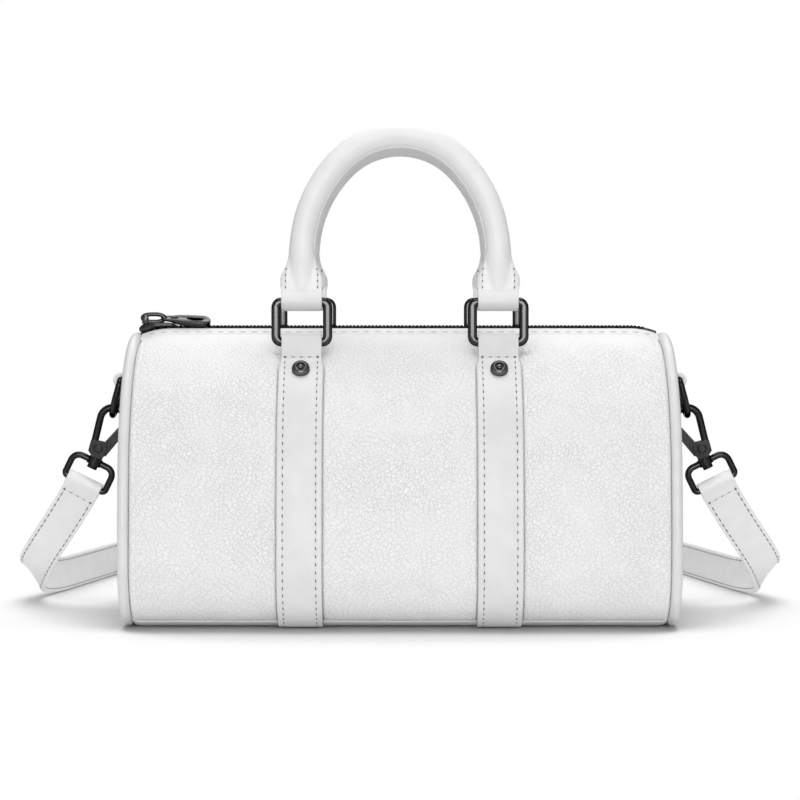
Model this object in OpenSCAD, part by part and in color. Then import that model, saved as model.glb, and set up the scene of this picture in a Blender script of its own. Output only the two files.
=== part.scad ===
// Barrel bag: a small domed handbag with two rolled handles on rectangular rings, two wrapped
// bands, a top zip, side tabs with D-rings and a shoulder strap on swivel snap hooks.
// Millimetres. X runs along the zip, Y towards the back, Z up. The origin is on the floor,
// at the centre of the flat base.

/* [Body] */
// Length of the bag over both piped rims
bag_w = 250; // [190:1:400]
// Height of the top of the dome
body_h = 132; // [105:0.5:220]
// Radius of the domed top, seen from the end
dome_r = 67; // [55:0.5:90]
// How much further the sides swell out than the dome
side_swell = 3; // [1:0.5:8]
// Radius of the two lower corners, seen from the end
corner_r = 30; // [20:0.5:38]
// Thickness of the pebbled wrap
wrap_t = 2; // [1:0.1:3]
// Thickness of the stiffened base
base_t = 3; // [2.6:0.1:5]
// Height of the seam between wrap and base
base_seam_h = 3; // [2.6:0.1:12]
// Diameter of the rolled piping round each end
piping_d = 5; // [3:0.1:8]
// Thickness of the end panels
end_t = 2; // [1:0.1:3]
// Thickness of the lining
lining_t = 0.8; // [0.4:0.1:1.5]
// Thickness of the board that stiffens the base
board_t = 1.5; // [1:0.1:1.7]

/* [Bands] */
// Distance of each band's middle from the middle of the bag
band_x = 44.5; // [36:0.5:80]
// Width of a band
band_w = 20; // [18.5:0.5:24]
// Thickness of a band
band_t = 1.8; // [1:0.1:2.2]
// Distance of the stitch row under each loop from the ring's lower bar, along the dome
row_drop = 7.5; // [7:0.1:10]
// Distance of the rivet from the ring's lower bar, along the dome
rivet_drop = 14.85; // [13.5:0.05:30]
// Diameter of the rivet's cap
rivet_d = 8; // [5:0.5:12]
// Height of the rivet's cap over the band
rivet_h = 2.4; // [0.8:0.1:3]

/* [Rings] */
// Outer width of a handle ring
ring_w = 27.6; // [27.6:0.1:34]
// Outer height of a handle ring
ring_h = 22.4; // [19:0.1:34]
// Wire of a handle ring
ring_wire_d = 4.2; // [3:0.1:4.4]
// Distance of the ring's lower bar from the middle of the bag
ring_y = 34.4; // [30:0.2:44]
// Thickness of the leather looped round the rings
loop_t = 2.2; // [1.2:0.1:2.6]

/* [Handles] */
// Diameter of a rolled handle
grip_d = 11; // [8:0.5:14]
// Diameter of the cord inside a handle
core_d = 6; // [3:0.5:7]
// Height of the straight ends of a handle, over the ring's upper bar
leg_h = 22; // [18:0.5:60]
// Rise of the handle's arch over its ends
arch_rise = 53.6; // [48:0.5:140]
// Radius of the top of the arch, on its middle line
arch_top_r = 38; // [30:0.5:43]
// Width of the flattened handle ends
flare_w = 19.4; // [15:0.2:24]
// Thickness of the flattened handle ends
flare_t = 4.4; // [3.6:0.1:6]
// Thickness of the tab's tongue inside the handle end
tongue_t = 2; // [1.2:0.1:2.4]

/* [Zip] */
// Rise of the zip over the dome
crest_rise = 2.3; // [1.8:0.1:4]
// Half width of the gap between the two plackets
placket_in = 3.2; // [3:0.1:5]
// Outer edge of each placket, from the middle
placket_out = 10.2; // [8:0.1:18]
// Thickness of a placket
placket_t = 1.1; // [0.8:0.1:1.6]
// Thickness of the zip's tape
tape_t = 0.6; // [0.4:0.05:1]
// Pitch of the teeth in one row
tooth_pitch = 3.45; // [2:0.05:4]
// Height of the teeth over the tape
tooth_h = 2; // [1.2:0.1:2.6]
// Length of the chain of teeth
chain_w = 234; // [150:1:236]
// Length of the slider
slider_l = 14.9; // [12:0.1:18]
// How far the closed slider stands out past the chain's end
slider_park = 4.9; // [4.4:0.1:7]
// Width of the slider
slider_w = 8.8; // [8.2:0.1:11]
// Length of the pull tab
pull_l = 23.9; // [18:0.1:40]
// Width of the pull tab
pull_w = 8.5; // [6.5:0.1:11]
// Thickness of the pull tab
pull_t = 1; // [0.8:0.05:1.2]

/* [Side tabs and D-rings] */
// Distance of a D-ring's bar from the middle of the bag
d_bar_x = 129.8; // [128.5:0.1:140]
// Height of a D-ring's bar over the floor
d_bar_z = 109.8; // [80:0.1:118]
// Wire of a D-ring
d_wire_d = 3; // [2:0.1:3.2]
// Width of a D-ring, on its wire's middle line
d_w = 18; // [16:0.2:24]
// Drop of a D-ring, on its wire's middle line
d_drop = 17; // [14:0.2:24]
// Angle at which a D-ring leans away from the bag
d_lean = 15.3; // [5:0.1:30]
// Width of a side tab
tab_w = 13; // [10:0.5:13.4]

/* [Snap hooks] */
// Lean of a hook's swivel axis towards the bag
hook_lean = 26; // [10:0.5:40]
// Wire of a hook
hook_wire_d = 3.4; // [2.4:0.1:3.6]
// Radius of the hook's crown, on its wire's middle line
crown_r = 5.9; // [5.7:0.1:7]
// Height of the crown's centre over the rivet
crown_s = 14.8; // [14:0.1:22]
// Width of the hook's block
block_w = 8.8; // [8:0.1:12]
// Depth of the hook's block, front to back
block_d = 5.4; // [4.8:0.1:8]
// Width of the gate lever, front to back
gate_d = 2.6; // [2:0.1:3]
// Diameter of the swivel post
post_d = 2.5; // [1.8:0.1:3]
// Diameter of the swivel collar
collar_d = 6.8; // [5.5:0.1:8]
// Length of the swivel collar
collar_l = 3.4; // [3.3:0.1:4]
// Wire of the strap frame
frame_wire_d = 3; // [2:0.1:3.2]
// Height of the strap frame, on its wire's middle line
frame_h = 11.4; // [10.5:0.1:18]

/* [Shoulder strap] */
// Width of the strap
strap_w = 17; // [12:0.5:24]
// Thickness of the strap
strap_t = 2.4; // [1.6:0.1:3]
// Where the strap starts to stand on its edge, from the middle of the bag
stand_x = 168; // [160:1:190]
// The same place, behind the middle of the bag
stand_y = 108; // [100:1:140]
// Heading of the standing strap there, from the bag's length
stand_heading = 77.1; // [60:0.1:90]
// Length of the standing strap before its first bend
lead_in = 62; // [55:1:90]
// Half length of the middle row of the strap
row_half = 100; // [60:1:110]
// Radius of the turns between the rows
row_turn_r = 15; // [10:0.5:18]
// Radius of the outer bends
outer_turn_r = 22; // [15:0.5:30]

/* [Hidden] */
$fn = 64;
// Children of a hull take this many sides
HULL_SIDES = 32;
// Sides of the piping's section
PIPING_SIDES = 10;
// Steps of the outline along the half dome, one side and one corner
DOME_STEPS = 16;
SIDE_STEPS = 4;
CORNER_STEPS = 12;
// How far cuts run past the solid
over = 1;
// Play between soft pieces of two bodies
seat_gap = 0.3;
// Running play of a pin in its bore
run_gap = 0.05;
// Play along a hinge, beside its leaves
side_gap = 0.3;

WHITE = "whitesmoke";
PEBBLED = "gainsboro";
METAL = "dimgray";
CLOTH = "silver";

// Body: sizes worked out from the driving ones
seam_x = bag_w / 2 - piping_d;
side_half = dome_r + side_swell;
base_half = side_half - corner_r;
dome_z = body_h - dome_r;
// The side is one arc, upright at the top of the corner and tangent to the dome
side_rise = dome_z - corner_r;
side_r = (side_half ^ 2 + side_rise ^ 2 - dome_r ^ 2) / (2 * side_swell);
side_angle = atan2(side_rise, side_r - side_half);
seam_turn = acos((base_seam_h - corner_r) / corner_r);
placket_edge_angle = asin(placket_out / dome_r);
end_plug_t = end_t;
end_pad_inset = piping_d;
lining_inset = base_t + seat_gap;
lining_floor_z = base_t + board_t + seat_gap;
lining_mouth = placket_out + 2 * lining_t;
board_half = base_half - board_t;

// Zip: heights over the floor and places along the chain
crest_z = body_h + crest_rise;
placket_foot_z = dome_z + sqrt(dome_r ^ 2 - placket_out ^ 2);
placket_slope = (crest_z - placket_foot_z) / (placket_out - placket_in);
tape_top_z = crest_z - placket_t;
tape_in = 1.2;
tape_out = placket_out - placket_t;
tape_half_w = seam_x + end_t / 2;
tooth_w = tooth_pitch * 0.46;
tooth_neck_w = tooth_pitch * 0.3;
tooth_reach = 0.9;
tooth_head_l = 1.6;
tooth_root = placket_in - seat_gap;
chain_top_z = tape_top_z + tooth_h;
stop_w = 2.4;
top_stop_w = 1.9;
slider_gap = 0.25;
slider_plate_t = 0.7;
slider_x = -chain_w / 2 - slider_park + slider_l / 2;
slider_flange_t = (slider_w - 2 * placket_in) / 2;
slider_base_w = 2 * (placket_in + seat_gap);
slider_base_t = 0.9;
slider_lip = 0.5;
wedge_w = 1.6;
wedge_l = 1.6;
wedge_x = -chain_w / 2 - wedge_l - slider_gap;
lug_t = 0.9;
lug_d = 2.6;
link_wire_d = 1.4;
link_l = 10.4;
link_h = 3.5;
link_pin_d = 1.4;
link_pin_inset = link_l / 2 - link_wire_d / 2 - link_pin_d / 2 - run_gap;
link_x = slider_x - slider_l / 2 + 3.1;
link_z = chain_top_z + slider_gap + slider_plate_t + link_h / 2 + link_wire_d / 2 + seat_gap / 2;
pull_x = link_x + link_pin_inset + link_l / 2 - link_h / 2;
pull_roll = 25;
pull_pitch = 4.4;
pull_lip = 0.5;
pull_neck_r = 2.7;
pull_eye = [1.7, 1.5];
pull_small_hole = [1.8, 1.1];
pull_large_hole = [4.1, 2.3];

// Rings and handles: middle lines
ring_c_w = ring_w - ring_wire_d;
ring_c_h = ring_h - ring_wire_d;
ring_corner_r = 0.6 * ring_wire_d;
ring_z = dome_z + sqrt((dome_r + band_t + loop_t + ring_wire_d / 2 - 1.3) ^ 2 - ring_y ^ 2);
bar_z = ring_z + ring_c_h;
loop_r = ring_wire_d / 2 + loop_t;
loop_w = ring_c_w - 2 * ring_corner_r - 2 * side_gap;
ring_angle = atan2(ring_y, ring_z - dome_z);
stitch_row_angle = ring_angle + row_drop / dome_r * 180 / PI;
rivet_angle = ring_angle + rivet_drop / dome_r * 180 / PI;
tab_neck_h = 5.5;
tongue_h = 11;
flare_h = 10;
leg_z = bar_z + leg_h;
arch_drop = arch_rise - arch_top_r;
arch_side_r = (arch_drop ^ 2 + band_x ^ 2 - arch_top_r ^ 2) / (2 * (band_x - arch_top_r));
arch_side_angle = atan2(arch_drop, arch_side_r - band_x);

// Side tabs
tab_bore_r = d_wire_d / 2 + run_gap;
tab_loop_r = tab_bore_r + loop_t + seat_gap;
tab_panel_x = seam_x + end_t;
tab_foot_h = 24;
d_corner_r = 0.75 * d_wire_d;

// Hook, in its own plane: t across towards the bag, s up the swivel axis, from the rivet
crown_t = 0.2;
axis_t = 1;
spine_lean = 12.3;
nose_angle = 4;
hang = crown_r - hook_wire_d / 2 - d_wire_d / 2 - seat_gap;
block_h = block_w * 0.93;
block_share = [
    [-0.54, 0.26], [-0.06, 0.4], [0.14, 0.43], [0.35, 0.31], [0.45, 0.15],
    [0.42, -0.36], [0.32, -0.5], [-0.14, -0.5], [-0.43, -0.32]
];
block_foot_s = -block_h * 0.54;
pin_d = 2;
pin_head_d = 3;
pin_head_t = 0.5;
gate_slot_gap = 0.4;
gate_tip_r = crown_s - seat_gap - hook_wire_d / 2 * sin(nose_angle);
gate_hub_r = 2.3;
gate_inner_share = [[0.09, 0.26], [0.285, 0.91]];
gate_outer_share = [[0.53, 0.86], [0.465, 0.5], [0.31, -0.13]];
collar_gap = 0.2;
collar_s = block_foot_s - collar_gap - collar_l / 2;
post_head_d = 4.8;
post_head_t = 1.6;
frame_top_s = collar_s;
frame_w = strap_w + 2 * side_gap + frame_wire_d;
frame_top_r = 4;
frame_foot_r = frame_wire_d * 0.57;
spring_t = 0.3;

// Places of the left hook in the bag's frame; the right one is its mirror image
d_bow = [-d_bar_x - d_drop * sin(d_lean), 0, d_bar_z - d_drop * cos(d_lean)];
crown_at = d_bow - [0, 0, hang];
across = [cos(hook_lean), 0, -sin(hook_lean)];
up_axis = [sin(hook_lean), 0, cos(hook_lean)];
rivet_at = crown_at - crown_t * across - crown_s * up_axis;
strap_bar_at = rivet_at + axis_t * across + (frame_top_s - frame_h) * up_axis;

// Strap: the hanging run is a Hermite curve that turns from flat to upright
strap_loop_r = frame_wire_d / 2 + run_gap + 2;
run_rings = 18;
run_start_gap = frame_wire_d / 2 + run_gap + 0.5;
run_away = [-0.35, 0.6];
run_leave = 180;
run_arrive = 200;
twist_from_share = 0.35;
doubled_share = 0.12;
doubled_t = strap_t + 1;
row_pitch = 2 * row_turn_r;

// The outline seen from the end follows the turn of its outward normal: 0 is the top of the
// dome, 90 the upright foot of the side, 180 the base. Points are [Y, Z], moved out by a margin.
function on_outline(turn, out = 0) =
    turn <= 90 - side_angle ? [(dome_r + out) * sin(turn), dome_z + (dome_r + out) * cos(turn)]
    : turn <= 90 ? [
        side_half - side_r + (side_r + out) * sin(turn), corner_r + (side_r + out) * cos(turn)
    ]
    : [base_half + (corner_r + out) * sin(turn), corner_r + (corner_r + out) * cos(turn)];

grid_turns = concat(
    [for (i = [0 : DOME_STEPS]) i * (90 - side_angle) / DOME_STEPS],
    [for (i = [1 : SIDE_STEPS]) 90 - side_angle + i * side_angle / SIDE_STEPS],
    [for (i = [1 : CORNER_STEPS]) 90 + i * 90 / CORNER_STEPS]
);

// The turns of the grid between two turns, and the two themselves
function turns(first, last) =
    concat([first], [for (t = grid_turns) if (t > first && t < last) t], [last]);

function reversed(list) = [for (i = [len(list) - 1 : -1 : 0]) list[i]];

function mirrored(points) = [for (p = reversed(points)) [-p[0], p[1]]];

function outline_run(first, last, out) = [for (t = turns(first, last)) on_outline(t, out)];

// The turn at which the corner, moved out by a margin, comes down to a height
function corner_turn(height, out) = acos((height - corner_r) / (corner_r + out));

module along_bag() {
    rotate([90, 0, 90]) children();
}

module both_sides() {
    children();
    mirror([1, 0, 0]) children();
}

// The outline of the body seen from the end, drawn in by a margin
module end_outline(inset = 0) {
    half = outline_run(0, 180, -inset);
    polygon(concat(half, mirrored(half)));
}

// A rectangular loop of round wire in the XY plane, with round corners
module wire_loop(w, h, wire_d, top_r, foot_r) {
    side_x = w / 2;
    top_y = h / 2;
    for (end = [[top_r, 1], [foot_r, -1]])
        translate([0, end[1] * top_y, 0])
            if (side_x > end[0])
                rotate([0, 90, 0]) cylinder(h = w - 2 * end[0], d = wire_d, center = true);
    for (side = [-1, 1])
        translate([side * side_x, foot_r - top_y, 0])
            if (h > top_r + foot_r)
                rotate([-90, 0, 0]) cylinder(h = h - top_r - foot_r, d = wire_d);
    for (side = [-1, 1]) {
        translate([side * (side_x - top_r), top_y - top_r, 0])
            rotate([0, 0, side > 0 ? 0 : 90])
                rotate_extrude(angle = 90) translate([top_r, 0]) circle(d = wire_d);
        translate([side * (side_x - foot_r), foot_r - top_y, 0])
            rotate([0, 0, side > 0 ? -90 : 180])
                rotate_extrude(angle = 90) translate([foot_r, 0]) circle(d = wire_d);
    }
}

// A flat plate with two round ends of unlike radius
module tapered_outline(x1, r1, x2, r2) {
    a = acos((r1 - r2) / (x2 - x1));
    in1 = 0.99 * r1;
    in2 = 0.99 * r2;
    translate([x1, 0]) circle(r1);
    translate([x2, 0]) circle(r2);
    polygon([
        [x1 + in1 * cos(a), in1 * sin(a)], [x2 + in2 * cos(a), in2 * sin(a)],
        [x2 + in2 * cos(a), -in2 * sin(a)], [x1 + in1 * cos(a), -in1 * sin(a)]
    ]);
}

module oval(half) {
    straight = half[0] - half[1];
    for (side = [-1, 1])
        translate([side * straight, 0]) circle(half[1]);
    square([2 * straight, 2 * half[1]], center = true);
}

// Wrap, base and ends
module back_wrap() {
    color(PEBBLED) along_bag()
        translate([0, 0, -seam_x])
            linear_extrude(2 * seam_x)
                polygon(concat(
                    outline_run(placket_edge_angle, seam_turn, 0),
                    reversed(outline_run(placket_edge_angle, seam_turn, -wrap_t))
                ));
}

module base_panel() {
    outer = outline_run(seam_turn, 180, 0);
    inner = outline_run(seam_turn, 180, -base_t);
    color(WHITE) difference() {
        along_bag()
            translate([0, 0, -seam_x])
                linear_extrude(2 * seam_x)
                    polygon(concat(outer, mirrored(outer), reversed(mirrored(inner)), reversed(inner)));
        // Shallow grooves take the two bands flush with the floor
        for (side = [-1, 1])
            translate([side * band_x - band_w / 2 - run_gap, -side_half, -over])
                cube([band_w + 2 * run_gap, 2 * side_half, over + band_t]);
    }
}

module end_panel() {
    color(WHITE) along_bag() {
        translate([0, 0, seam_x - end_plug_t])
            linear_extrude(end_plug_t) end_outline(base_t);
        translate([0, 0, seam_x])
            linear_extrude(end_t) end_outline(end_pad_inset);
    }
}

// A ring of sections round the whole outline
module piping() {
    half = turns(0, 180);
    stations = concat([for (t = half) [t, 1]], [for (t = reversed(half)) if (t > 0) [t, -1]]);
    n = len(stations);
    k = PIPING_SIDES;
    points = [
        for (s = stations, j = [0 : k - 1])
            let (
                a = j * 360 / k,
                p = on_outline(s[0], (cos(a) - 1) * piping_d / 2)
            )
            [seam_x + (1 + sin(a)) * piping_d / 2, s[1] * p[0], p[1]]
    ];
    faces = [
        for (i = [0 : n - 1], j = [0 : k - 1])
            let (a = i * k + j, b = i * k + (j + 1) % k, c = (i + 1) % n * k + (j + 1) % k, d = (i + 1) % n * k + j)
            each [[a, b, c], [a, c, d]]
    ];
    color(WHITE) polyhedron(points, faces);
}

module lining() {
    color(CLOTH) along_bag() difference() {
        lining_body(0);
        lining_body(lining_t);
        // The mouth under the zip
        translate([-lining_mouth, dome_z + dome_r / 2, -seam_x])
            cube([2 * lining_mouth, dome_r, 2 * seam_x]);
    }
}

module lining_body(inset) {
    half_l = seam_x - end_plug_t - seat_gap - inset;
    translate([0, 0, -half_l])
        linear_extrude(2 * half_l)
            intersection() {
                end_outline(lining_inset + inset);
                translate([-side_half, lining_floor_z + inset]) square([2 * side_half, body_h]);
            }
}

module base_board() {
    half_l = seam_x - end_plug_t - seat_gap;
    color("tan")
        translate([-half_l, -board_half, base_t])
            cube([2 * half_l, 2 * board_half, board_t]);
}

// Zip
module back_placket() {
    color(WHITE) along_bag()
        translate([0, 0, -seam_x])
            linear_extrude(2 * seam_x)
                polygon([
                    [placket_in, crest_z], [placket_in, crest_z - placket_t],
                    [placket_out - placket_t, placket_foot_z - placket_t + placket_slope * placket_t],
                    [placket_out, placket_foot_z]
                ]);
}

module back_zip_tape() {
    color("dimgray") along_bag()
        translate([0, 0, -tape_half_w])
            linear_extrude(2 * tape_half_w)
                polygon([
                    [tape_in, tape_top_z], [tape_in, tape_top_z - tape_t],
                    [placket_in, tape_top_z - tape_t],
                    [tape_out, tape_top_z - tape_t - placket_slope * (tape_out - placket_in)],
                    [tape_out, tape_top_z - placket_slope * (tape_out - placket_in)],
                    [placket_in, tape_top_z]
                ]);
}

// One row of teeth on its bead: the other row stands half a pitch further along
module tooth_row(first) {
    count = floor((chain_w - tooth_pitch / 2) / tooth_pitch);
    for (i = [0 : count - 1])
        translate([first + i * tooth_pitch, 0])
            polygon([
                [-tooth_neck_w / 2, tooth_root], [-tooth_neck_w / 2, tooth_head_l - tooth_reach],
                [-tooth_w / 2, tooth_neck_w / 2 - tooth_reach / 2],
                [-tooth_neck_w / 2, -tooth_reach], [tooth_neck_w / 2, -tooth_reach],
                [tooth_w / 2, tooth_neck_w / 2 - tooth_reach / 2],
                [tooth_neck_w / 2, tooth_head_l - tooth_reach], [tooth_neck_w / 2, tooth_root]
            ]);
}

module back_zip_teeth() {
    first = -chain_w / 2 + tooth_w / 2;
    zip_teeth() tooth_row(first);
}

module front_zip_teeth() {
    first = -chain_w / 2 + tooth_w / 2 + tooth_pitch / 2;
    mirror([0, 1, 0]) zip_teeth() tooth_row(first);
}

module zip_teeth() {
    bead_in = tooth_head_l;
    color(METAL) translate([0, 0, tape_top_z]) {
        linear_extrude(tooth_h) children();
        translate([-chain_w / 2, bead_in, 0])
            cube([chain_w, tooth_root - bead_in, tooth_h / 2]);
    }
}

module zip_stops() {
    color(METAL) {
        for (side = [-1, 1])
            translate([wedge_x - slider_gap - top_stop_w, side > 0 ? tape_in : -tooth_root, tape_top_z])
                cube([top_stop_w, tooth_root - tape_in, tooth_h - slider_gap]);
        translate([chain_w / 2 + slider_gap, -tooth_root, tape_top_z])
            cube([stop_w, 2 * tooth_root, tooth_h]);
    }
}

module zip_slider() {
    plate_z = chain_top_z + slider_gap;
    base_z = tape_top_z - tape_t - slider_gap - slider_base_t;
    color(METAL) {
        translate([slider_x, 0, plate_z])
            linear_extrude(slider_plate_t) slider_outline(slider_w);
        // Flanges that hold the rows together
        for (side = [-1, 1])
            translate([slider_x - slider_l / 3, side > 0 ? placket_in : -slider_w / 2, crest_z + slider_gap])
                cube([slider_l * 2 / 3, slider_flange_t, plate_z - crest_z]);
        translate([wedge_x - slider_lip, -slider_base_w / 2, base_z])
            cube([slider_l * 2 / 3, slider_base_w, slider_base_t]);
        // The wedge that parts the rows
        translate([wedge_x, -wedge_w / 2, base_z])
            cube([wedge_l, wedge_w, plate_z - base_z + slider_plate_t / 2]);
        link_lugs(plate_z + slider_plate_t / 2);
    }
}

module slider_outline(w) {
    nose = w / 4;
    polygon([
        [-slider_l / 2, -nose], [-slider_l / 2 + nose, -w / 2], [slider_l / 2 - nose, -w / 2],
        [slider_l / 2, -w / 2 + nose], [slider_l / 2, w / 2 - nose], [slider_l / 2 - nose, w / 2],
        [-slider_l / 2 + nose, w / 2], [-slider_l / 2, nose]
    ]);
}

module link_lugs(foot_z) {
    lug_y = link_wire_d / 2 + side_gap;
    for (side = [-1, 1])
        translate([link_x, side > 0 ? lug_y : -lug_y - lug_t, 0]) {
            translate([0, lug_t, link_z])
                rotate([90, 0, 0]) cylinder(h = lug_t, d = lug_d);
            translate([-lug_d / 2, 0, foot_z]) cube([lug_d, lug_t, link_z - foot_z]);
        }
    translate([link_x, 0, link_z])
        rotate([90, 0, 0]) cylinder(h = 2 * lug_y + lug_t, d = link_pin_d, center = true);
}

module pull_link() {
    color(METAL)
        translate([link_x + link_pin_inset, 0, link_z])
            rotate([90, 0, 0])
                wire_loop(link_l, link_h, link_wire_d, link_h / 2, link_h / 2);
}

module pull_tab() {
    end_r = pull_w / 2;
    eye_x = link_h / 2;
    color(METAL)
        translate([pull_x, 0, link_z])
            rotate([0, pull_pitch, 0])
                rotate([pull_roll, 0, 0])
                    translate([0, 0, -pull_t / 2])
                        linear_extrude(pull_t)
                            difference() {
                                tapered_outline(pull_neck_r - pull_lip, pull_neck_r,
                                                pull_l - pull_lip - end_r, end_r);
                                translate([eye_x, 0]) oval(pull_eye);
                                translate([pull_l * 0.255, 0]) oval(pull_small_hole);
                                translate([pull_l * 0.67, 0]) oval(pull_large_hole);
                            }
}

// Bands
module band(side) {
    outer = outline_run(ring_angle, corner_turn(0, band_t), band_t);
    inner = outline_run(ring_angle, corner_turn(band_t, 0), 0);
    color(WHITE) difference() {
        union() {
            translate([side * band_x - band_w / 2, 0, 0]) along_bag()
                linear_extrude(band_w)
                    polygon(concat(outer, mirrored(outer), reversed(mirrored(inner)), reversed(inner)));
            translate([side * band_x, 0, 0]) along_bag() {
                band_loop();
                mirror([1, 0, 0]) band_loop();
            }
        }
        band_bores(side);
    }
}

// The band's end goes round the ring's lower bar and back to the stitch row
module band_loop() {
    lift = 90 - (ring_angle + stitch_row_angle) / 2;
    translate([0, 0, -loop_w / 2])
        linear_extrude(loop_w) {
            translate([ring_y, ring_z]) circle(loop_r);
            polygon([
                [ring_y, ring_z],
                [ring_y + loop_r * cos(lift), ring_z + loop_r * sin(lift)],
                on_outline(stitch_row_angle + 1, band_t), on_outline(stitch_row_angle + 1, band_t / 2),
                on_outline(ring_angle, band_t / 2)
            ]);
        }
}

module band_bores(side) {
    for (face = [-1, 1])
        translate([side * band_x, face * ring_y, ring_z])
            rotate([0, 90, 0])
                cylinder(h = band_w + 2 * over, d = ring_wire_d + 2 * run_gap, center = true);
}

module band_rivets() {
    for (side = [-1, 1], face = [0, 1])
        mirror([0, face, 0]) translate([side * band_x, 0, 0]) rivet();
}

module rivet() {
    rim_t = rivet_h / 2;
    recess_r = rivet_d * 0.28;
    color(METAL)
        translate([0, 0, dome_z])
            rotate([-rivet_angle, 0, 0])
                translate([0, 0, dome_r + band_t])
                    rotate_extrude()
                        difference() {
                            union() {
                                square([rivet_d / 2, rim_t]);
                                translate([0, rim_t]) square([rivet_d / 2 - rim_t, rivet_h - rim_t]);
                                intersection() {
                                    translate([rivet_d / 2 - rim_t, rim_t]) circle(rim_t);
                                    square([rivet_d / 2, rivet_h]);
                                }
                            }
                            translate([recess_r * 0.65, rim_t])
                                square([recess_r * 0.35, rivet_h]);
                        }
}

// Rings
module ring(side) {
    color(METAL)
        translate([side * band_x, ring_y, ring_z + ring_c_h / 2])
            rotate([90, 0, 0])
                wire_loop(ring_c_w, ring_c_h, ring_wire_d, ring_corner_r, ring_corner_r);
}

// Handles: a three-centred arch on two flattened ends
module arch(d_out, d_in = 0) {
    translate([0, ring_y, leg_z]) rotate([90, 0, 0]) {
        both_sides()
            translate([band_x - arch_side_r, 0, 0])
                rotate_extrude(angle = arch_side_angle)
                    translate([arch_side_r, 0]) tube_profile(d_out, d_in);
        translate([0, arch_drop, 0])
            rotate([0, 0, arch_side_angle])
                rotate_extrude(angle = 180 - 2 * arch_side_angle)
                    translate([arch_top_r, 0]) tube_profile(d_out, d_in);
    }
}

module tube_profile(d_out, d_in) {
    difference() {
        circle(d = d_out);
        if (d_in > 0) circle(d = d_in);
    }
}

module flare_outline() {
    straight = flare_w - flare_t;
    for (side = [-1, 1])
        translate([side * straight / 2, 0]) circle(d = flare_t);
    square([straight, flare_t], center = true);
}

module handle_end() {
    slab_z = bar_z + tab_neck_h;
    bore_foot_z = slab_z + flare_h;
    difference() {
        union() {
            translate([0, ring_y, slab_z]) linear_extrude(flare_h) flare_outline();
            hull() {
                translate([0, ring_y, slab_z + flare_h - over])
                    linear_extrude(over, $fn = HULL_SIDES) flare_outline();
                translate([0, ring_y, leg_z - over / 2])
                    cylinder(h = over / 2, d = grip_d, $fn = HULL_SIDES);
            }
        }
        translate([0, ring_y, bore_foot_z]) cylinder(h = leg_h, d = core_d);
        translate([-loop_w / 2 - run_gap, ring_y - tongue_t / 2 - run_gap, slab_z - over])
            cube([loop_w + 2 * run_gap, tongue_t + 2 * run_gap, over + tongue_h + run_gap]);
    }
}

module back_handle() {
    color(WHITE) {
        arch(grip_d, core_d);
        for (side = [-1, 1]) translate([side * band_x, 0, 0]) handle_end();
    }
}

module back_handle_core() {
    core_foot_z = bar_z + tab_neck_h + tongue_h + 2 * run_gap;
    color("tan") {
        arch(core_d - 2 * run_gap);
        for (side = [-1, 1])
            translate([side * band_x, ring_y, core_foot_z])
                cylinder(h = leg_z - core_foot_z, d = core_d - 2 * run_gap);
    }
}

module handle_tab(side) {
    shoulder_h = tab_neck_h * 0.4;
    color(WHITE)
        translate([side * band_x - loop_w / 2, ring_y, bar_z])
            rotate([90, 0, 90])
                linear_extrude(loop_w)
                    difference() {
                        union() {
                            circle(loop_r);
                            polygon([
                                [-loop_r * 0.94, loop_r * 0.34], [loop_r * 0.94, loop_r * 0.34],
                                [flare_t / 2, tab_neck_h - run_gap], [-flare_t / 2, tab_neck_h - run_gap]
                            ]);
                            translate([-tongue_t / 2, shoulder_h])
                                square([tongue_t, tab_neck_h + tongue_h - shoulder_h]);
                        }
                        circle(d = ring_wire_d + 2 * run_gap);
                    }
}

// Side tab and D-ring
module side_tab() {
    reach = d_bar_x - tab_panel_x;
    color(WHITE)
        translate([0, tab_w / 2, 0]) rotate([90, 0, 0]) linear_extrude(tab_w)
            difference() {
                union() {
                    translate([-d_bar_x, d_bar_z]) circle(tab_loop_r);
                    translate([-d_bar_x, d_bar_z - tab_loop_r * 0.2])
                        square([reach, tab_loop_r * 1.2]);
                    translate([-tab_panel_x - loop_t, d_bar_z - tab_foot_h])
                        square([loop_t, tab_foot_h + tab_loop_r]);
                }
                translate([-d_bar_x, d_bar_z]) circle(tab_bore_r);
            }
}

module d_ring() {
    color(METAL)
        translate([-d_bar_x, 0, d_bar_z])
            rotate([0, d_lean, 0])
                translate([0, 0, -d_drop / 2])
                    rotate([90, 0, 90])
                        wire_loop(d_w, d_drop, d_wire_d, d_corner_r, d_w / 2);
}

// Snap hook: drawn flat, with x across and y up the swivel axis
module hook_plane() {
    translate(rivet_at) rotate([0, hook_lean, 0]) rotate([90, 0, 0]) children();
}

module hook() {
    spine_foot = [crown_t - crown_r * cos(spine_lean), crown_s - crown_r * sin(spine_lean)];
    spine_l = (spine_foot[1] - block_h * 0.26) / cos(spine_lean);
    color(METAL) hook_plane() {
        translate([crown_t, crown_s, 0])
            rotate([0, 0, -nose_angle])
                rotate_extrude(angle = 180 + nose_angle + spine_lean)
                    translate([crown_r, 0]) circle(d = hook_wire_d);
        translate([spine_foot[0], spine_foot[1], 0])
            rotate([0, 0, spine_lean])
                rotate([90, 0, 0]) cylinder(h = spine_l, d = hook_wire_d);
        difference() {
            hook_block();
            cylinder(h = block_d + 2 * over, d = pin_d, center = true);
        }
        swivel_post();
    }
}

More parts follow.
